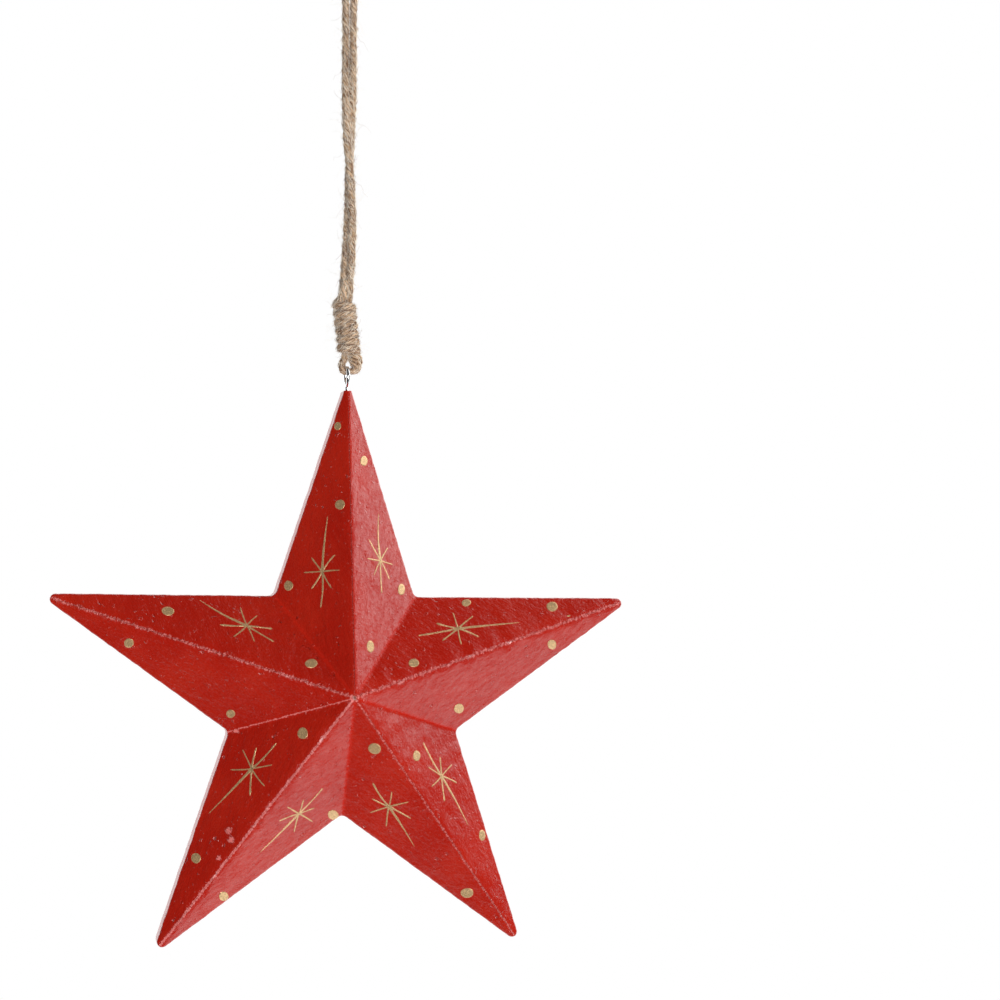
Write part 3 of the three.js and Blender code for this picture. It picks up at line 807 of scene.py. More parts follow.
class Arm:
    """One arm in its own frame: along from the star's centre, across, and front from the wall's edge."""

    def __init__(self, name):
        s = self.sizes = settings().star
        number = ARM_NAMES.index(name)
        self.angle = FIRST_ARM + 2 * HALF_ARM * number
        self.tip_round = s.sawn_round if name == "top_arm" else s.tip_round
        self.notch = (s.notch_radius * cos(HALF_ARM), s.notch_radius * sin(HALF_ARM))
        self.slant = atan2(self.notch[1], s.tip_radius - self.notch[0])
        self.along_slope = s.apex_rise / s.tip_radius
        self.across_slope = (s.apex_rise - self.along_slope * self.notch[0]) / self.notch[1]
        reach = s.notch_radius + s.notch_round / sin(HALF_ARM + self.slant)
        self.hollow = (reach * cos(HALF_ARM), reach * sin(HALF_ARM))
        self.joint_end = (reach - s.notch_round) * cos(HALF_ARM)
        self.tip_centre = s.tip_radius - self.tip_round / sin(self.slant)
        self.ridge_round = RIDGES[name][0]
        self.worn = wave_noise(40 + number, 9.0)
        self.drips = {side: (wave_noise(60 + number + side, 5.0), wave_noise(70 + number + side, 1.1))
                      for side in (1, -1)}

    def outline(self, step=0.45):
        """Points from the centre out to the tip, on the upper side."""
        s = self.sizes
        normal = pi / 2 - self.slant
        along = np.linspace(0, self.joint_end, int(self.joint_end / step))[:-1]
        points = [(u, u * tan(HALF_ARM)) for u in along]
        for a in np.linspace(HALF_ARM + pi, normal + pi, 9):
            points.append((self.hollow[0] + s.notch_round * cos(a), self.hollow[1] + s.notch_round * sin(a)))
        start = points[-1][0]
        end = self.tip_centre + self.tip_round * cos(normal)
        for u in np.linspace(start, end, int((end - start) / step))[1:-1]:
            points.append((u, (s.tip_radius - u) * tan(self.slant)))
        for a in np.linspace(normal, 0, 9):
            points.append((self.tip_centre + self.tip_round * cos(a), self.tip_round * sin(a)))
        return points

    def from_edge(self, u, v):
        """Distance in from the outer outline, and from the joint with the next arm."""
        s, v = self.sizes, np.abs(v)
        side = (s.tip_radius - u) * sin(self.slant) - v * cos(self.slant)
        down = (u - self.notch[0]) * cos(self.slant) - (v - self.notch[1]) * sin(self.slant)
        in_notch = down < s.notch_round / tan(HALF_ARM + self.slant)
        side = np.where(in_notch, np.hypot(u - self.hollow[0], v - self.hollow[1]) - s.notch_round, side)
        beyond = (u - self.tip_centre) * cos(self.slant) - v * sin(self.slant) > 0
        round_tip = self.tip_round - np.hypot(u - self.tip_centre, v)
        side = np.where((u > self.tip_centre) & beyond, round_tip, side)
        return np.maximum(side, 0), np.maximum(u * sin(HALF_ARM) - v * cos(HALF_ARM), 0)

    def dripped(self, ring, half):
        """A ring with the paint's unevenness along the arm's two outer edges."""
        ring = np.array(ring)
        u, v = ring[0, 0], ring[:, 1]
        if u <= self.joint_end or half < 0.3:
            return ring
        fade = min(1.0, (u - self.joint_end) / 3.0, half / 2.0)
        for side, (long, short) in self.drips.items():
            out = self.sizes.edge_drips * fade * (long(u) + 0.5 * short(u))
            near = np.where(v * side > 0, (np.abs(v) / half) ** 8, 0)
            ring[:, 1] += side * out * near
        return ring

    def in_star(self, u, v):
        c, s = cos(self.angle), sin(self.angle)
        return u * c - v * s, u * s + v * c

    def front(self, u, v):
        """Height of the front, above the wall's front edge. The ridge is sanded round."""
        s = self.sizes
        u, v = np.broadcast_arrays(np.asarray(u, float), np.asarray(v, float))
        own = np.clip((u - 2.0) / 9.0, 0, 1)
        sanded = CENTRE_ROUND + own * (self.ridge_round * (1 + 0.25 * self.worn(u)) - CENTRE_ROUND)
        height = s.apex_rise - self.along_slope * u - self.across_slope * np.hypot(v, sanded)
        outer, joint = self.from_edge(u, v)
        rise = self.across_slope * cos(HALF_ARM) - self.along_slope * sin(HALF_ARM)
        width = np.maximum(np.minimum(s.valley_fill, 0.5 * u), 1e-6)
        height = height + rise * np.maximum(width - joint, 0) ** 2 / (2 * width)
        inward = np.clip(outer / s.edge_round, 0, 1)
        height = height - 0.85 * s.edge_round * (1 - np.sqrt(1 - (1 - inward) ** 2))
        right, up = self.in_star(u, v)
        return height + s.unevenness * (0.7 * WAVES(right, up) + 0.3 * SHORT_WAVES(right, up))


def column_places(half):
    """Places across half an arm, closer together at the ridge and at the edge."""
    ridge = np.array([0, 0.14, 0.28, 0.44, 0.62, 0.84, 1.12, 1.5, 2.0])
    rim = np.array([0, 0.02, 0.07, 0.15, 0.25, 0.37, 0.5, 0.7, 0.95, 1.25])
    share = min(1.0, half / 5.2)
    between = np.linspace(ridge[-1] * share, half - rim[-1] * share, 30)[1:-1]
    return np.concatenate([ridge * share, between, half - rim[::-1] * share])


BACK_ROUND = 0.3
WALL_ROWS = 6
BACK_ROWS = 7
# places across the arm's UV map, clear of the front's
WALL_PLACE, BACK_PLACE, END_PLACE = 60, 120, 200
MAP_SCALE = 0.01  # of the arm's UV maps, for each millimetre
MAP_GAP = 300  # keeps the two sides of a ridge apart in the brush's map


def ring_parts(arm, u, half):
    """What one ring is made of: the front, a side wall from its top to the back, and the back."""
    floor = -arm.sizes.wall_depth
    across = column_places(half)
    across = np.concatenate([across[::-1], -across[1:]])
    tops = arm.front(np.full(len(across), u), across)
    rounding = 0.0 if u <= arm.joint_end else min(BACK_ROUND, half / 2)
    wall_height = floor + rounding - tops[0]
    side = [(half, tops[0] + wall_height * k / WALL_ROWS) for k in range(1, WALL_ROWS + 1)]
    side += [(half - rounding * (1 - cos(a)), floor + rounding * (1 - sin(a)))
             for a in (radians(30), radians(60), radians(90))]
    back = [(v, floor) for v in np.linspace(-1, 1, BACK_ROWS + 2)[1:-1] * (half - rounding)]
    return list(zip(across, tops)), side, back


def arm_map(corners, kind):
    """The arm's UV map: along and across it, with the wall and the back set apart from the front."""
    u, v, z = np.moveaxis(corners, 2, 0)
    down = np.where(v > 0, WALL_PLACE + z, -WALL_PLACE - z)
    across = np.select([kind == "front", kind == "wall"], [v, down], v + BACK_PLACE)
    return np.stack([u, across], axis=2).reshape(-1, 2)


def arm_mesh(arm, name):
    """One arm as closed rings, each across the arm at one place along it."""
    s = arm.sizes
    outline = arm.outline()
    cut = s.tip_radius - s.top_cut
    if name == "top_arm":
        outline = [p for p in outline if p[0] < cut - 0.1]
        outline.append((cut, (s.tip_radius - cut) * tan(arm.slant)))
    rings = []
    for u, half in outline:
        front, side, back = ring_parts(arm, u, half)
        ring = [*front, *((-v, z) for v, z in side), *back, *reversed(side)]
        rings.append(arm.dripped([(u, v, z) for v, z in ring], half))
    count = len(rings[0])
    points = np.concatenate(rings)
    faces = bands(len(rings), count)
    kind = np.repeat(["front", "wall", "back", "wall"],
                     [len(front) - 1, len(side) + 1, len(back) - 1, len(side) + 1])
    uvs = arm_map(points[np.array(faces)], np.tile(kind, len(rings) - 1)[:, None])
    if name == "top_arm":
        points, cap_faces = sawn_end(points, list(range(len(points) - count, len(points))), cut)
        faces += cap_faces
        corners = points[np.concatenate(cap_faces)]
        uvs = np.vstack([uvs, corners[:, 1:] + (END_PLACE, 0)])
    return points, faces, uvs


def sawn_end(points, loop, cut):
    """The sawn end of the top arm, with the hole that the screw eye stands in."""
    eye = settings().eye
    middle, radius, deep, count = -eye.depth, eye.wire / 2 + 0.1, eye.thread_length + 1.0, 28
    rims = [[(cut - depth, r * cos(2 * pi * k / count), middle + r * sin(2 * pi * k / count))
             for k in range(count)] for depth, r in ((0.0, radius + 0.12), (0.15, radius), (deep, radius))]
    first = len(points)
    points = np.vstack([points, *rims, [(cut - deep - radius, 0, middle)]])

    def bearing(k):
        return atan2(points[k][2] - middle, points[k][1]) % (2 * pi)
    outer = sorted(loop, key=bearing)
    inner = range(first, first + count)
    steps = [(bearing(k), 0, k) for k in outer]
    steps += [(2 * pi * j / count, 1, k) for j, k in enumerate(inner)]
    faces, last = [], [outer[-1], inner[-1]]
    for _, which, k in sorted(steps):
        faces.append((last[0], k, last[1]))
        last[which] = k
    return points, faces + bands(3, count, first) + fan(len(points) - 1, first + 2 * count, count)


def arm_glints(name, u, v, joint):
    """How strongly the ridge, a joint and a few places carry painted glints: 0 is not at all, and 1 or more
    is fully.
    """
    _, worn_half, wear = RIDGES[name]
    worn = bell(v, worn_half) * wear
    if name in GLINTING_JOINT:
        worn = np.maximum(worn, JOINT_GLINT * bell(joint, GLINT_REACH) * (v * GLINTING_JOINT[name] > 0))
    # a few places get a painted highlight
    for (highlit_arm, side), places in HIGHLIGHT_PLACES.items():
        for x, y, half in places if highlit_arm == name else ():
            at = Facet(name, side).seen_at(x, y)
            worn = np.maximum(worn, PLACE_HIGHLIGHT * bell(np.hypot(u - at[0], v - at[1]), half))
    return worn


def brushed(arm, name, uvs):
    """The UV map turned so that its first direction is the brush's, on each side of the ridge."""
    ways = [radians(BRUSH_WAY[name, side]) if (name, side) in BRUSH_WAY else -side * arm.slant
            for side in (1, -1)]
    x, y = uvs.T
    way = np.where(y > 0, *ways)
    return np.stack([x * np.cos(way) + y * np.sin(way),
                     y * np.cos(way) - x * np.sin(way) + np.sign(y) * MAP_GAP], axis=1)


def make_arm(name):
    """One painted arm, with what its paint follows."""
    arm = Arm(name)
    points, faces, uvs = arm_mesh(arm, name)
    u, v, z = points.T
    outer, joint = arm.from_edge(u, v)
    on_front = z > -1.0
    right, up = arm.in_star(u, v)
    made = piece(name + "_painted", star_place(right, up, z), faces, red_paint())
    # ridge carries where glints are painted: on the ridge, along a joint and in a few places
    add_values(made, ridge=arm_glints(name, u, v, joint) * on_front, edge=bell(outer, EDGE_REACH),
               heart=bell(u, HEART_REACH) * on_front, valley=bell(joint, VALLEY_REACH) * on_front,
               wall=np.clip((-z - 0.2) / 0.8, 0, 1))
    add_uv(made, "arm", uvs * MAP_SCALE)
    add_uv(made, "brush", brushed(arm, name, uvs) * MAP_SCALE)
    turned_out(made, 58, merged=2e-7)
    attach(made, "star")
    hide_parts(name)


# Gold marks, placed by what the photograph shows


def view_ray(x, y):
    """The camera's place, and its direction through a point of the photograph, in pixels."""
    view = settings().view
    focal = view.lens / SENSOR * PHOTO_SIDE
    middle = PHOTO_SIDE / 2
    way = Euler(view.turn).to_matrix() @ Vector(((x - middle) / focal, (middle - y) / focal, -1.0))
    return np.array(view.place), np.array(way)


class Facet:
    """One sloping side of an arm: side is 1 where it lies anticlockwise of the ridge, and -1 clockwise."""

    def __init__(self, arm_name, side):
        self.arm = Arm(arm_name)
        u, v = np.array([(10.0, side * 2.0), (60.0, side * 2.0), (40.0, side * 12.0)]).T
        flat = self.arm.sizes.apex_rise - self.arm.along_slope * u - self.arm.across_slope * np.abs(v)
        a, b, c = self.place(u, v, flat)
        self.origin, self.normal = a, unit(np.cross(b - a, c - a))

    def place(self, u, v, z):
        return star_place(*self.arm.in_star(u, v), z)

    def seen_at(self, x, y):
        """Where a point of the photograph lies on the facet, along and across the arm."""
        eye, way = view_ray(x, y)
        hit = eye + way * ((self.origin - eye) @ self.normal) / (way @ self.normal)
        tilt, drop = hang()
        up = -hit[1] * sin(tilt) + (hit[2] + Binding().pivot) * cos(tilt) + drop
        c, s = cos(self.arm.angle), sin(self.arm.angle)
        return np.array([hit[0] * c + up * s, -hit[0] * s + up * c])

    def lifted(self, where, lift):
        """Points on the painted front, and so far above it."""
        u, v = np.asarray(where, float).T
        return self.place(u, v, self.arm.front(u, v) + lift)


ANTICLOCKWISE, CLOCKWISE = 1, -1

GOLD_DOTS = {
    # each dot: its middle in the photograph, and its width and height there, in pixels
    ("top_arm", ANTICLOCKWISE): [(337.7, 426.1, 7, 8), (340, 504.6, 9.5, 10.3), (288.5, 585.7, 9, 10)],
    ("top_arm", CLOCKWISE): [(363.9, 460.9, 7, 10.3), (401.4, 589.4, 7.3, 10.9), (370.5, 646.5, 7.4, 11.8)],
    ("left_arm", CLOCKWISE): [(167.9, 611.1, 12.5, 8.9), (311.3, 663.4, 12.4, 9.2)],
    ("left_arm", ANTICLOCKWISE): [(128.9, 643.1, 10, 9), (230.7, 713.8, 9.2, 8)],
    ("right_arm", ANTICLOCKWISE): [(466.3, 602.8, 9.4, 7), (552.2, 606.5, 11, 9.8), (413.9, 663, 10.7, 8.2),
                                   (569, 616, 3.4, 1.8)],
    ("right_arm", CLOCKWISE): [(552.1, 644.6, 8.5, 10), (459, 708.5, 10, 9.5)],
    ("lower_left_arm", CLOCKWISE): [(302.7, 733.3, 10.4, 11.6), (196, 858.2, 9.2, 10.7)],
    ("lower_left_arm", ANTICLOCKWISE): [(333.2, 814.9, 11, 9.5), (223.7, 896.3, 10, 8.8)],
    ("lower_right_arm", CLOCKWISE): [(374.6, 748.7, 12.5, 11), (467.1, 893, 12.5, 10)],
    ("lower_right_arm", ANTICLOCKWISE): [(416.7, 755.8, 7, 11), (482.2, 835.3, 6.3, 11)],
}

GOLD_BURSTS = {
    # each burst: its middle in the photograph, then the outer end of each stroke, the longest first
    ("top_arm", ANTICLOCKWISE): ((322, 571.6), [
        (327.7, 516), (320.5, 607.7), (303.6, 572.7), (340, 570.1), (311.3, 557.4), (334.8, 554.7),
        (311.1, 589.1), (331.4, 588.2)]),
    ("top_arm", CLOCKWISE): ((380.5, 560.7), [
        (378.6, 513.2), (381.9, 593.4), (367.3, 558.4), (392.8, 564.7), (369.1, 539.6), (387.8, 547.5),
        (373.9, 575.6), (389.5, 579.6)]),
    ("left_arm", CLOCKWISE): ((246.8, 625.4), [
        (199.4, 600), (219.6, 624.6), (233.4, 636.8), (240.1, 607.3), (257.5, 615.4), (272.7, 628.7),
        (274, 641.6), (254.6, 641.9)]),
    ("right_arm", ANTICLOCKWISE): ((458, 628.5), [
        (519.7, 622.5), (418.3, 635.6), (436.2, 623.3), (452.9, 612.4), (473.2, 616), (479, 636.8),
        (461.4, 644.6), (442.2, 640.7)]),
    ("lower_left_arm", CLOCKWISE): ((251.7, 768.7), [
        (208.4, 813.7), (276.2, 743), (256.6, 747.2), (242.6, 749.4), (230.6, 769.7), (272.4, 764.8),
        (249.9, 795.8), (264.7, 786.3)]),
    ("lower_left_arm", ANTICLOCKWISE): ((298.9, 813.7), [
        (259.4, 852.9), (322.9, 788.1), (303.5, 799.3), (287.2, 806.8), (279, 821.3), (314.8, 807.7),
        (294.1, 832.2), (312.7, 821.8)]),
    ("lower_right_arm", CLOCKWISE): ((388.8, 806.6), [
        (414.5, 846.7), (372.7, 782.9), (391.8, 791.5), (408.7, 801.9), (410.9, 818.5), (386.3, 826.5),
        (369.7, 812.7), (371.9, 798.6)]),
    ("lower_right_arm", ANTICLOCKWISE): ((441.5, 776.2), [
        (468.1, 825.1), (423.1, 742.2), (439.9, 756.7), (451.8, 764.6), (456.8, 782.9), (444.7, 801.4),
        (431.6, 786.7), (428.1, 767.1)]),
}
SUNK = -0.05  # the foot of a mark, inside the red paint
DOT_SECTION = ((1.0, SUNK), (1.0, 0.02), (0.975, 0.085), (0.9, 0.13), (0.78, 0.145), (0.55, 0.13),
               (0.28, 0.12))
STROKE_SECTION = ((1.0, SUNK), (1.0, 0.01), (0.8, 0.06), (0.35, 0.085), (-0.35, 0.085), (-0.8, 0.06),
                  (-1.0, 0.01), (-1.0, SUNK))


def domed_dot(facet, middle, wide, high, seed):
    """A dab of thick paint, a little uneven, with its foot sunk in the red."""
    draw = np.random.default_rng(seed)
    count, rows = 30, len(DOT_SECTION)
    turn = np.arange(count) * 2 * pi / count
    uneven = 1 + sum(draw.uniform(0.2, 1.0) * a * np.sin(n * turn + draw.uniform(0, 2 * pi))
                     for n, a in ((2, 0.05), (3, 0.025), (4, 0.012)))
    rings = []
    for share, lift in DOT_SECTION:
        x = middle[0] + wide / 2 * share * uneven * np.cos(turn)
        y = middle[1] + high / 2 * share * uneven * np.sin(turn)
        rings.append(facet.lifted([facet.seen_at(*at) for at in zip(x, y)], lift))
    centre = facet.seen_at(*middle)
    points = np.vstack([*rings, facet.lifted([centre], DOT_SECTION[-1][1]), facet.lifted([centre], SUNK)])
    faces = bands(rows, count) + fan(rows * count, (rows - 1) * count, count)
    return points, faces + fan(rows * count + 1, 0, count, inward=True)


def brush_stroke(facet, middle, end, seed, longest):
    """One tapering stroke of paint from a burst's middle to its outer end."""
    draw = np.random.default_rng(seed)
    a, b = facet.seen_at(*middle), facet.seen_at(*end)
    length = np.linalg.norm(b - a)
    ahead = (b - a) / length
    aside = np.array([-ahead[1], ahead[0]])
    before = 0.5
    length += before
    count = max(12, int(length / 0.45))
    t = np.linspace(0, 1, count)
    bow = draw.uniform(-0.035, 0.035) * length * np.sin(pi * t)
    middle_line = a - ahead * before + np.outer(t * length, ahead) + np.outer(bow, aside)
    if longest:
        width = 0.32 * (1 - t) ** 0.75 + 0.07
    else:
        width = draw.uniform(0.24, 0.31) * (1 - 0.35 * t)
        width = width * (1 + draw.uniform(0, 0.35) * bell(t - 0.9, 0.12))
    uneven = 1 + 0.12 * wave_noise(seed, 2.5)(t * length)
    width = width * uneven * np.minimum(1, np.sqrt(np.maximum((1 - t) * length / 0.3, 0.02)))
    rings = [facet.lifted(middle_line + np.outer(width * share, aside), lift)
             for share, lift in STROKE_SECTION]
    n = len(STROKE_SECTION)
    faces = bands(count, n) + [tuple(range(n))[::-1], tuple((count - 1) * n + j for j in range(n))]
    return np.stack(rings, axis=1).reshape(-1, 3), faces


def gold_piece(name, shells):
    points, faces = joined(shells)
    made = piece(name, points, faces, gold_paint())
    turned_out(made, 70)
    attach(made, "star")


# The screw eye


def wire_tube(line, radius, sides=24):
    """A round wire along a line, with its two ends a little domed."""
    points, _ = evenly(line, 0.18)
    tangent, side, other = frames_along(points, (1, 0, 0))
    around = np.arange(sides) * 2 * pi / sides

    def ring(k, share=1.0, out=0.0):
        section = np.outer(np.cos(around), side[k]) + np.outer(np.sin(around), other[k])
        return points[k] + tangent[k] * out * radius + section * radius * share
    last = len(points) - 1
    dome = ((0.5, 0.3255), (0.86, 0.21))  # a ring's radius and how far out it lies, as shares of the wire's
    rings = [*(ring(0, share, -out) for share, out in dome), *(ring(k) for k in range(last + 1)),
             *(ring(last, share, out) for share, out in reversed(dome))]
    tip = 0.35 * radius
    tips = [points[0] - tangent[0] * tip, points[last] + tangent[last] * tip]
    count = len(rings)
    faces = (bands(count, sides) + fan(count * sides, 0, sides, inward=True)
             + fan(count * sides + 1, (count - 1) * sides, sides))
    return np.vstack([*rings, tips]), faces


def thread_mesh():
    """The threaded shank, from its point up to the wood's surface."""
    e = settings().eye
    sides, per_turn = 28, 12
    rings = int(round(e.thread_length / e.thread_pitch * per_turn))
    up = np.arange(1, rings + 1) / rings * e.thread_length
    turn = np.arange(sides) / sides
    phase = up[:, None] / e.thread_pitch - turn[None, :]
    crest = np.maximum(0, 1 - 2.6 * np.abs(phase - np.floor(phase) - 0.5))
    radius = e.wire / 2 - e.thread_rise / 2 + e.thread_rise * crest
    radius = radius * np.minimum(1, up / e.thread_point)[:, None]
    x, y = radius * np.cos(2 * pi * turn), radius * np.sin(2 * pi * turn)
    z = np.repeat((up - e.thread_length)[:, None], sides, axis=1)
    points = np.vstack([np.stack([x, y, z], axis=2).reshape(-1, 3), [(0, 0, -e.thread_length), (0, 0, 0)]])
    faces = (bands(rings, sides) + fan(rings * sides, 0, sides, inward=True)
             + fan(rings * sides + 1, (rings - 1) * sides, sides))
    return points, faces


def eye_line():
    """The wire's middle line in the ring's own plane: the shank, the ring, and the end beside the neck."""
    e, eye = settings().eye, EyeForm()
    points = [(0, 0, -eye.wood_drop - e.wire), (0, 0, -eye.neck_drop - e.neck / 2)]
    for k in range(25):
        a = radians(270 * k / 24) - eye.opening
        points.append((0, eye.ring * cos(a), eye.ring * sin(a)))
    gap = (e.wire + eye.end_gap) * sin(eye.opening)
    points.append((0, -gap, gap - eye.neck_drop))
    return centripetal(points)


# The pieces as operators


class Undoable:
    """Shared by the operators of the star ornament."""
    bl_options = {"REGISTER", "UNDO"}


class ORNAMENT_OT_camera(Undoable, bpy.types.Operator):
    """Places the camera at the photograph's viewing angle"""
    bl_idname = "ornament.camera"
    bl_label = "Camera"

    def execute(self, context):
        view = settings().view
        lens = bpy.data.cameras.new("camera")
        lens.sensor_width, lens.lens = SENSOR, view.lens
        camera = linked("camera", lens)
        camera.location = [c * MM for c in view.place]
        camera.rotation_euler = view.turn
        bpy.context.scene.camera = camera
        return {"FINISHED"}


class ORNAMENT_OT_hanging_loop(Undoable, bpy.types.Operator):
    """Makes the free loop of twine, and the loose fibres on it"""
    bl_idname = "ornament.hanging_loop"
    bl_label = "Hanging loop"

    def execute(self, context):
        twine, binding = settings().twine, Binding()
        route = centripetal(loop_controls())
        controls = np.array(loop_controls(pressed=0.88, sway=0.95))
        depth = 2.2  # of the strands' ends inside the binding
        inside = binding.out([(0.72 * side, -0.3 * side, binding.length / 2 - depth) for side in (1, -1)])
        line = centripetal([inside[0], *controls, inside[1]])
        whole = evenly(line, 0.35)[1][-1]

        def squeezed(at):
            """Lumpy, thicker at two places, and thin where the strands enter the binding."""
            end = np.minimum(at, whole - at)
            lumps = 1 + 0.05 * wave_noise(3, 26.0)(at) + 0.14 * bell(at - 60, 6) + 0.09 * bell(end - 32, 20)
            return lumps * (0.66 + 0.34 * np.clip((end - 0.6) / 2.2, 0, 1))
        tube = twine_tube(line, twine.thickness * TWINE_SHARE, 11, sides=48, step=0.35, swell=squeezed)
        loop = twine_piece("hanging_loop_twine", [tube])
        hairs = [grow_fibres(name, loop) for name in ("hanging_loop_fibres", "hanging_loop_stray_hairs")]
        for made in (loop, *hairs):
            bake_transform(made)
        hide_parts("hanging_loop")
        return {"FINISHED"}


FREE_END = ((0.3, -0.2, 0.7), (1.7, -1.2, 2.0), (2.8, -1.9, 4.2), (3.4, -2.0, 6.4), (3.7, -1.8, 8.0))


class ORNAMENT_OT_binding(Undoable, bpy.types.Operator):
    """Makes the wound binding with its free end, and the two strands pressed together inside it"""
    bl_idname = "ornament.binding"
    bl_label = "Binding"

    def execute(self, context):
        twine, lies = settings().twine, Binding()
        wound = twine.binding_turns * 2 * pi
        angle = np.linspace(0, wound, int(lies.length * 12))
        up = (angle / wound - 0.5) * twine.binding_turns * lies.pitch
        coil = np.stack([lies.radius * np.cos(angle), -lies.radius * np.sin(angle), up], axis=1)
        starts = coil[0] - np.outer(np.linspace(twine.thickness, 0.1, 8), unit(coil[1] - coil[0]))
        tail = centripetal([coil[-2], coil[-1], *[coil[-1] + step for step in FREE_END]], parts=12)[12:]
        line = np.vstack([starts, coil[:-1], tail])

        def frames(points):
            tangent = unit(np.gradient(points, axis=0))
            outward = points * (1, 1, 0)
            outward = unit(outward - tangent * np.sum(outward * tangent, axis=1, keepdims=True))
            return tangent, outward, np.cross(tangent, outward)
        whole = evenly(line, 0.3)[1][-1]

        def thinned(at):
            return (1 + 0.05 * wave_noise(5, 9.0)(at)) * (1 - 0.1 * np.clip((at - whole + 4) / 4, 0, 1))
        tube = twine_tube(line, twine.thickness, 31, frames=frames, swell=thinned, flat=(0.97, 1.2),
                          cut=0.06)
        tube["points"] = lies.out(tube["points"])
        tube["along"] = lies.out(tube["along"]) - lies.out([(0, 0, 0)])
        binding = twine_piece("binding_twine", [tube])
        hairs = [grow_fibres(name, binding) for name in ("binding_fibres", "binding_stray_hairs")]
        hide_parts("binding")
        reach = lies.length / 2 - 0.2
        cores = [lies.out([(x, 0, z) for z in np.linspace(reach, -reach, 12)]) for x in (-0.62, 0.62)]
        inner = twine_piece("bound_strands_twine", [twine_tube(core, 1.7, seed, sides=20, step=0.6)
                                                    for seed, core in zip((34, 35), cores)])
        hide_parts("bound_strands")
        for made in (binding, *hairs, inner):
            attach(made, "bound_twine")
        return {"FINISHED"}


class ORNAMENT_OT_eye_bight(Undoable, bpy.types.Operator):
    """Makes the bend of the loop through the ring"""
    bl_idname = "ornament.eye_bight"
    bl_label = "Bend through the ring"

    def execute(self, context):
        twine, wire, lies, eye = settings().twine, settings().eye.wire, Binding(), EyeForm()
        bend = wire / 2 + eye.play + twine.thickness / 2
        swing = radians(75)
        drop = eye.ring_drop
        apart = -lies.pivot + sqrt(eye.ring**2 - (drop * sin(swing)) ** 2) - drop * cos(swing) + wire / 2
        leg = (twine.thickness + lies.leg_gap) / 2
        top = -lies.end - lies.bend_gap
        pulled_up = 0.75  # the twine is squeezed flat under the ring's wire
        bulge = 1.15  # how far the right leg stands out
        drawn_in = 0.5  # how far the left leg is drawn in
        controls = [(lies.foot - 0.75, 0, top + 2.6), (lies.foot - leg + 0.2, 0, top),
                    (drawn_in - bend, 0, apart)]
        for k in range(7):
            a = pi + pi * k / 6
            to_right = bulge * max(0.0, cos(a)) ** 2 + drawn_in * max(0.0, -cos(a)) ** 2
            controls.append((bend * cos(a) + to_right, 0, -lies.pivot + bend + (bend - pulled_up) * sin(a)))
        controls += [(bend + bulge, 0, apart), (lies.foot + leg + bulge * 0.1, 0, top),
                     (lies.foot + 0.75, 0, top + 2.6)]
        line = centripetal(controls)
        whole = evenly(line, 0.3)[1][-1]

        def squeezed(at):
            """Thin under the ring's wire, fat on the right leg, and a little thicker at both ends."""
            end = np.minimum(at, whole - at)
            flat = 1 - 0.36 * bell(at - whole / 2, 1.3)
            fat = 1 + 0.88 * bell(at - whole / 2 - 5.8, 3.0)
            lumps = 1 + 0.03 * wave_noise(6, 7.0)(at)
            return (1.12 - 0.12 * np.clip(end / 4.5, 0, 1)) * lumps * flat * fat
        tube = twine_tube(line, twine.thickness * TWINE_SHARE, 41, swell=squeezed)
        bight = twine_piece("eye_bight_twine", [tube])
        for made in (bight, grow_fibres("eye_bight_fibres", bight)):
            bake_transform(made)
        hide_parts("eye_bight")
        return {"FINISHED"}


class ORNAMENT_OT_screw_eye(Undoable, bpy.types.Operator):
    """Makes the screw eye: ring, neck and threaded shank"""
    bl_idname = "ornament.screw_eye"
    bl_label = "Screw eye"

    def execute(self, context):
        eye = EyeForm()
        wire, wire_faces = wire_tube(eye_line(), settings().eye.wire / 2)
        thread, thread_faces = thread_mesh()
        points, faces = joined([(hung(wire + (0, 0, -eye.ring_drop)), wire_faces),
                                (hung(thread + (0, 0, -eye.ring_drop - eye.wood_drop)), thread_faces)])
        made = piece("screw_eye_wire", points, faces, bright_wire())
        turned_out(made, 50)
        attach(made, "star")
        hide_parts("screw_eye")
        return {"FINISHED"}


class ORNAMENT_OT_arms(Undoable, bpy.types.Operator):
    """Makes the five painted wooden arms"""
    bl_idname = "ornament.arms"
    bl_label = "Wooden arms"

    def execute(self, context):
        for name in ARM_NAMES:
            make_arm(name)
        return {"FINISHED"}


class ORNAMENT_OT_gold_dots(Undoable, bpy.types.Operator):
    """Paints the gold dots"""
    bl_idname = "ornament.gold_dots"
    bl_label = "Gold dots"

    def execute(self, context):
        shells = []
        for (arm, side), dots in GOLD_DOTS.items():
            facet = Facet(arm, side)
            for x, y, wide, high in dots:
                shells.append(domed_dot(facet, (x, y), wide, high, 100 + len(shells)))
        gold_piece("gold_dots", shells)
        return {"FINISHED"}


class ORNAMENT_OT_gold_bursts(Undoable, bpy.types.Operator):
    """Paints the gold bursts of eight strokes"""
    bl_idname = "ornament.gold_bursts"
    bl_label = "Gold bursts"

    def execute(self, context):
        shells = []
        for (arm, side), (middle, ends) in GOLD_BURSTS.items():
            facet = Facet(arm, side)
            for k, end in enumerate(ends):
                shells.append(brush_stroke(facet, middle, end, 200 + len(shells), k == 0))
        gold_piece("gold_bursts", shells)
        return {"FINISHED"}


STAR_MIDDLE = Vector((0, 0, -0.26))
SOFT_LIGHTS = {
    # from the star's middle, width and height, all in metres, and the brightness
    "high_softbox": ((1.35, 0.30, 1.04), (2.09, 1.74), 2.3),
    "low_softbox": ((0.98, -0.05, -1.12), (0.85, 1.46), 1.27),
    "front_softbox": ((0.16, -1.9, -0.39), (0.8, 0.8), 18.8),
}


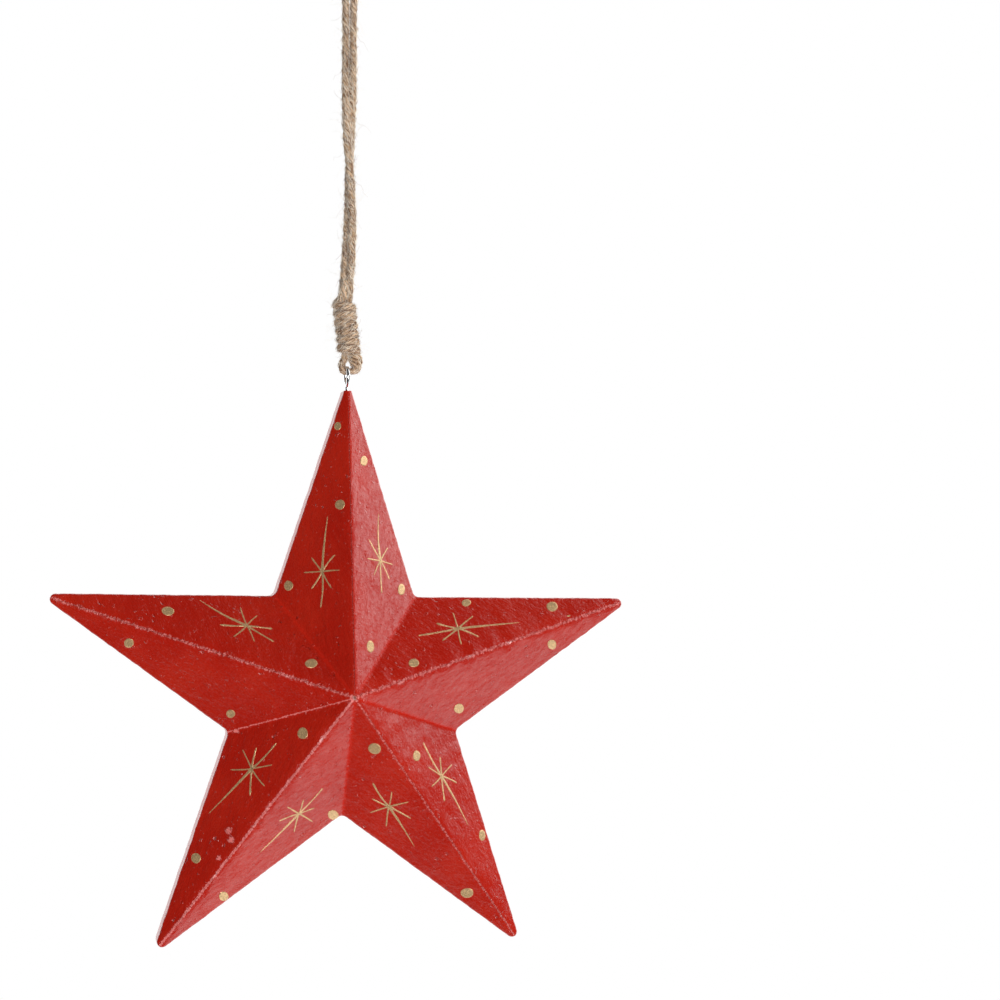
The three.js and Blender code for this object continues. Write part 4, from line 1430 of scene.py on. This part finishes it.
class ORNAMENT_OT_stage(Undoable, bpy.types.Operator):
    """Makes the pale floor, the white surroundings and the soft lights"""
    bl_idname = "ornament.stage"
    bl_label = "Floor and lights"

    def execute(self, context):
        side, near, deep = 1000.0, -300.0, -2200.0
        far = near + 2 * side
        corners = [(-side, near, deep), (side, near, deep), (side, far, deep), (-side, far, deep)]
        piece("floor", corners, [(0, 1, 2, 3)], pale_floor())
        self.surroundings()
        for name, light in SOFT_LIGHTS.items():
            self.soft_light(name, *light)
        bpy.context.scene.view_settings.view_transform = "Standard"
        bpy.context.scene.view_settings.look = "None"
        return {"FINISHED"}

    def surroundings(self):
        """White to the camera. They light the ornament from behind, and hardly from in front."""
        world = bpy.data.worlds.new("studio")
        bpy.context.scene.world = world
        world.use_nodes = True
        world.node_tree.nodes.clear()
        g = Graph(world.node_tree)
        way = g.node("ShaderNodeSeparateXYZ", None, Vector=g.value("ShaderNodeTexCoord"))
        behind = g.step(Value(g, way.outputs[1]), 0.20, 0.55)
        dim = g.mix(behind, rgba([0.035] * 3), (2.0, 2.0, 2.0, 1.0))
        white = g.mix(g.value("ShaderNodeLightPath"), dim, rgba([1.0] * 3))
        light = g.value("ShaderNodeBackground", None, Color=white, Strength=1.0)
        g.node("ShaderNodeOutputWorld", None, Surface=light)

    def soft_light(self, name, away, size, brightness):
        """A rectangular light that faces the star, seen in reflections and not by the camera."""
        lamp = bpy.data.lights.new(name, "AREA")
        lamp.shape, lamp.size, lamp.size_y = "RECTANGLE", size[0], size[1]
        lamp.energy = brightness * pi * size[0] * size[1]
        made = linked(name, lamp)
        made.location = STAR_MIDDLE + Vector(away)
        made.rotation_euler = Vector(away).to_track_quat("Z", "Y").to_euler()
        made.visible_camera = False


OPERATORS = (ORNAMENT_OT_camera, ORNAMENT_OT_hanging_loop, ORNAMENT_OT_binding, ORNAMENT_OT_eye_bight,
             ORNAMENT_OT_screw_eye, ORNAMENT_OT_arms, ORNAMENT_OT_gold_dots, ORNAMENT_OT_gold_bursts,
             ORNAMENT_OT_stage)


class ORNAMENT_PT_panel(bpy.types.Panel):
    """Lists the pieces of the star ornament"""
    bl_label = "Star ornament"
    bl_idname = "ORNAMENT_PT_panel"
    bl_space_type = "VIEW_3D"
    bl_region_type = "UI"
    bl_category = "Ornament"

    def draw(self, context):
        for group in GROUPS:
            box = self.layout.box()
            for name in GROUPS[group].__annotations__:
                box.prop(getattr(context.scene.star_ornament, group), name)
        for operator in OPERATORS:
            self.layout.operator(operator.bl_idname)


CLASSES = (*GROUPS.values(), OrnamentSettings, *OPERATORS, ORNAMENT_PT_panel)


def register():
    for each in CLASSES:
        bpy.utils.register_class(each)
    bpy.types.Scene.star_ornament = PointerProperty(type=OrnamentSettings)


def unregister():
    del bpy.types.Scene.star_ornament
    for each in reversed(CLASSES):
        bpy.utils.unregister_class(each)


def main():
    register()
    for operator in OPERATORS:
        group, name = operator.bl_idname.split(".")
        getattr(getattr(bpy.ops, group), name)()


if __name__ == "__main__":
    main()
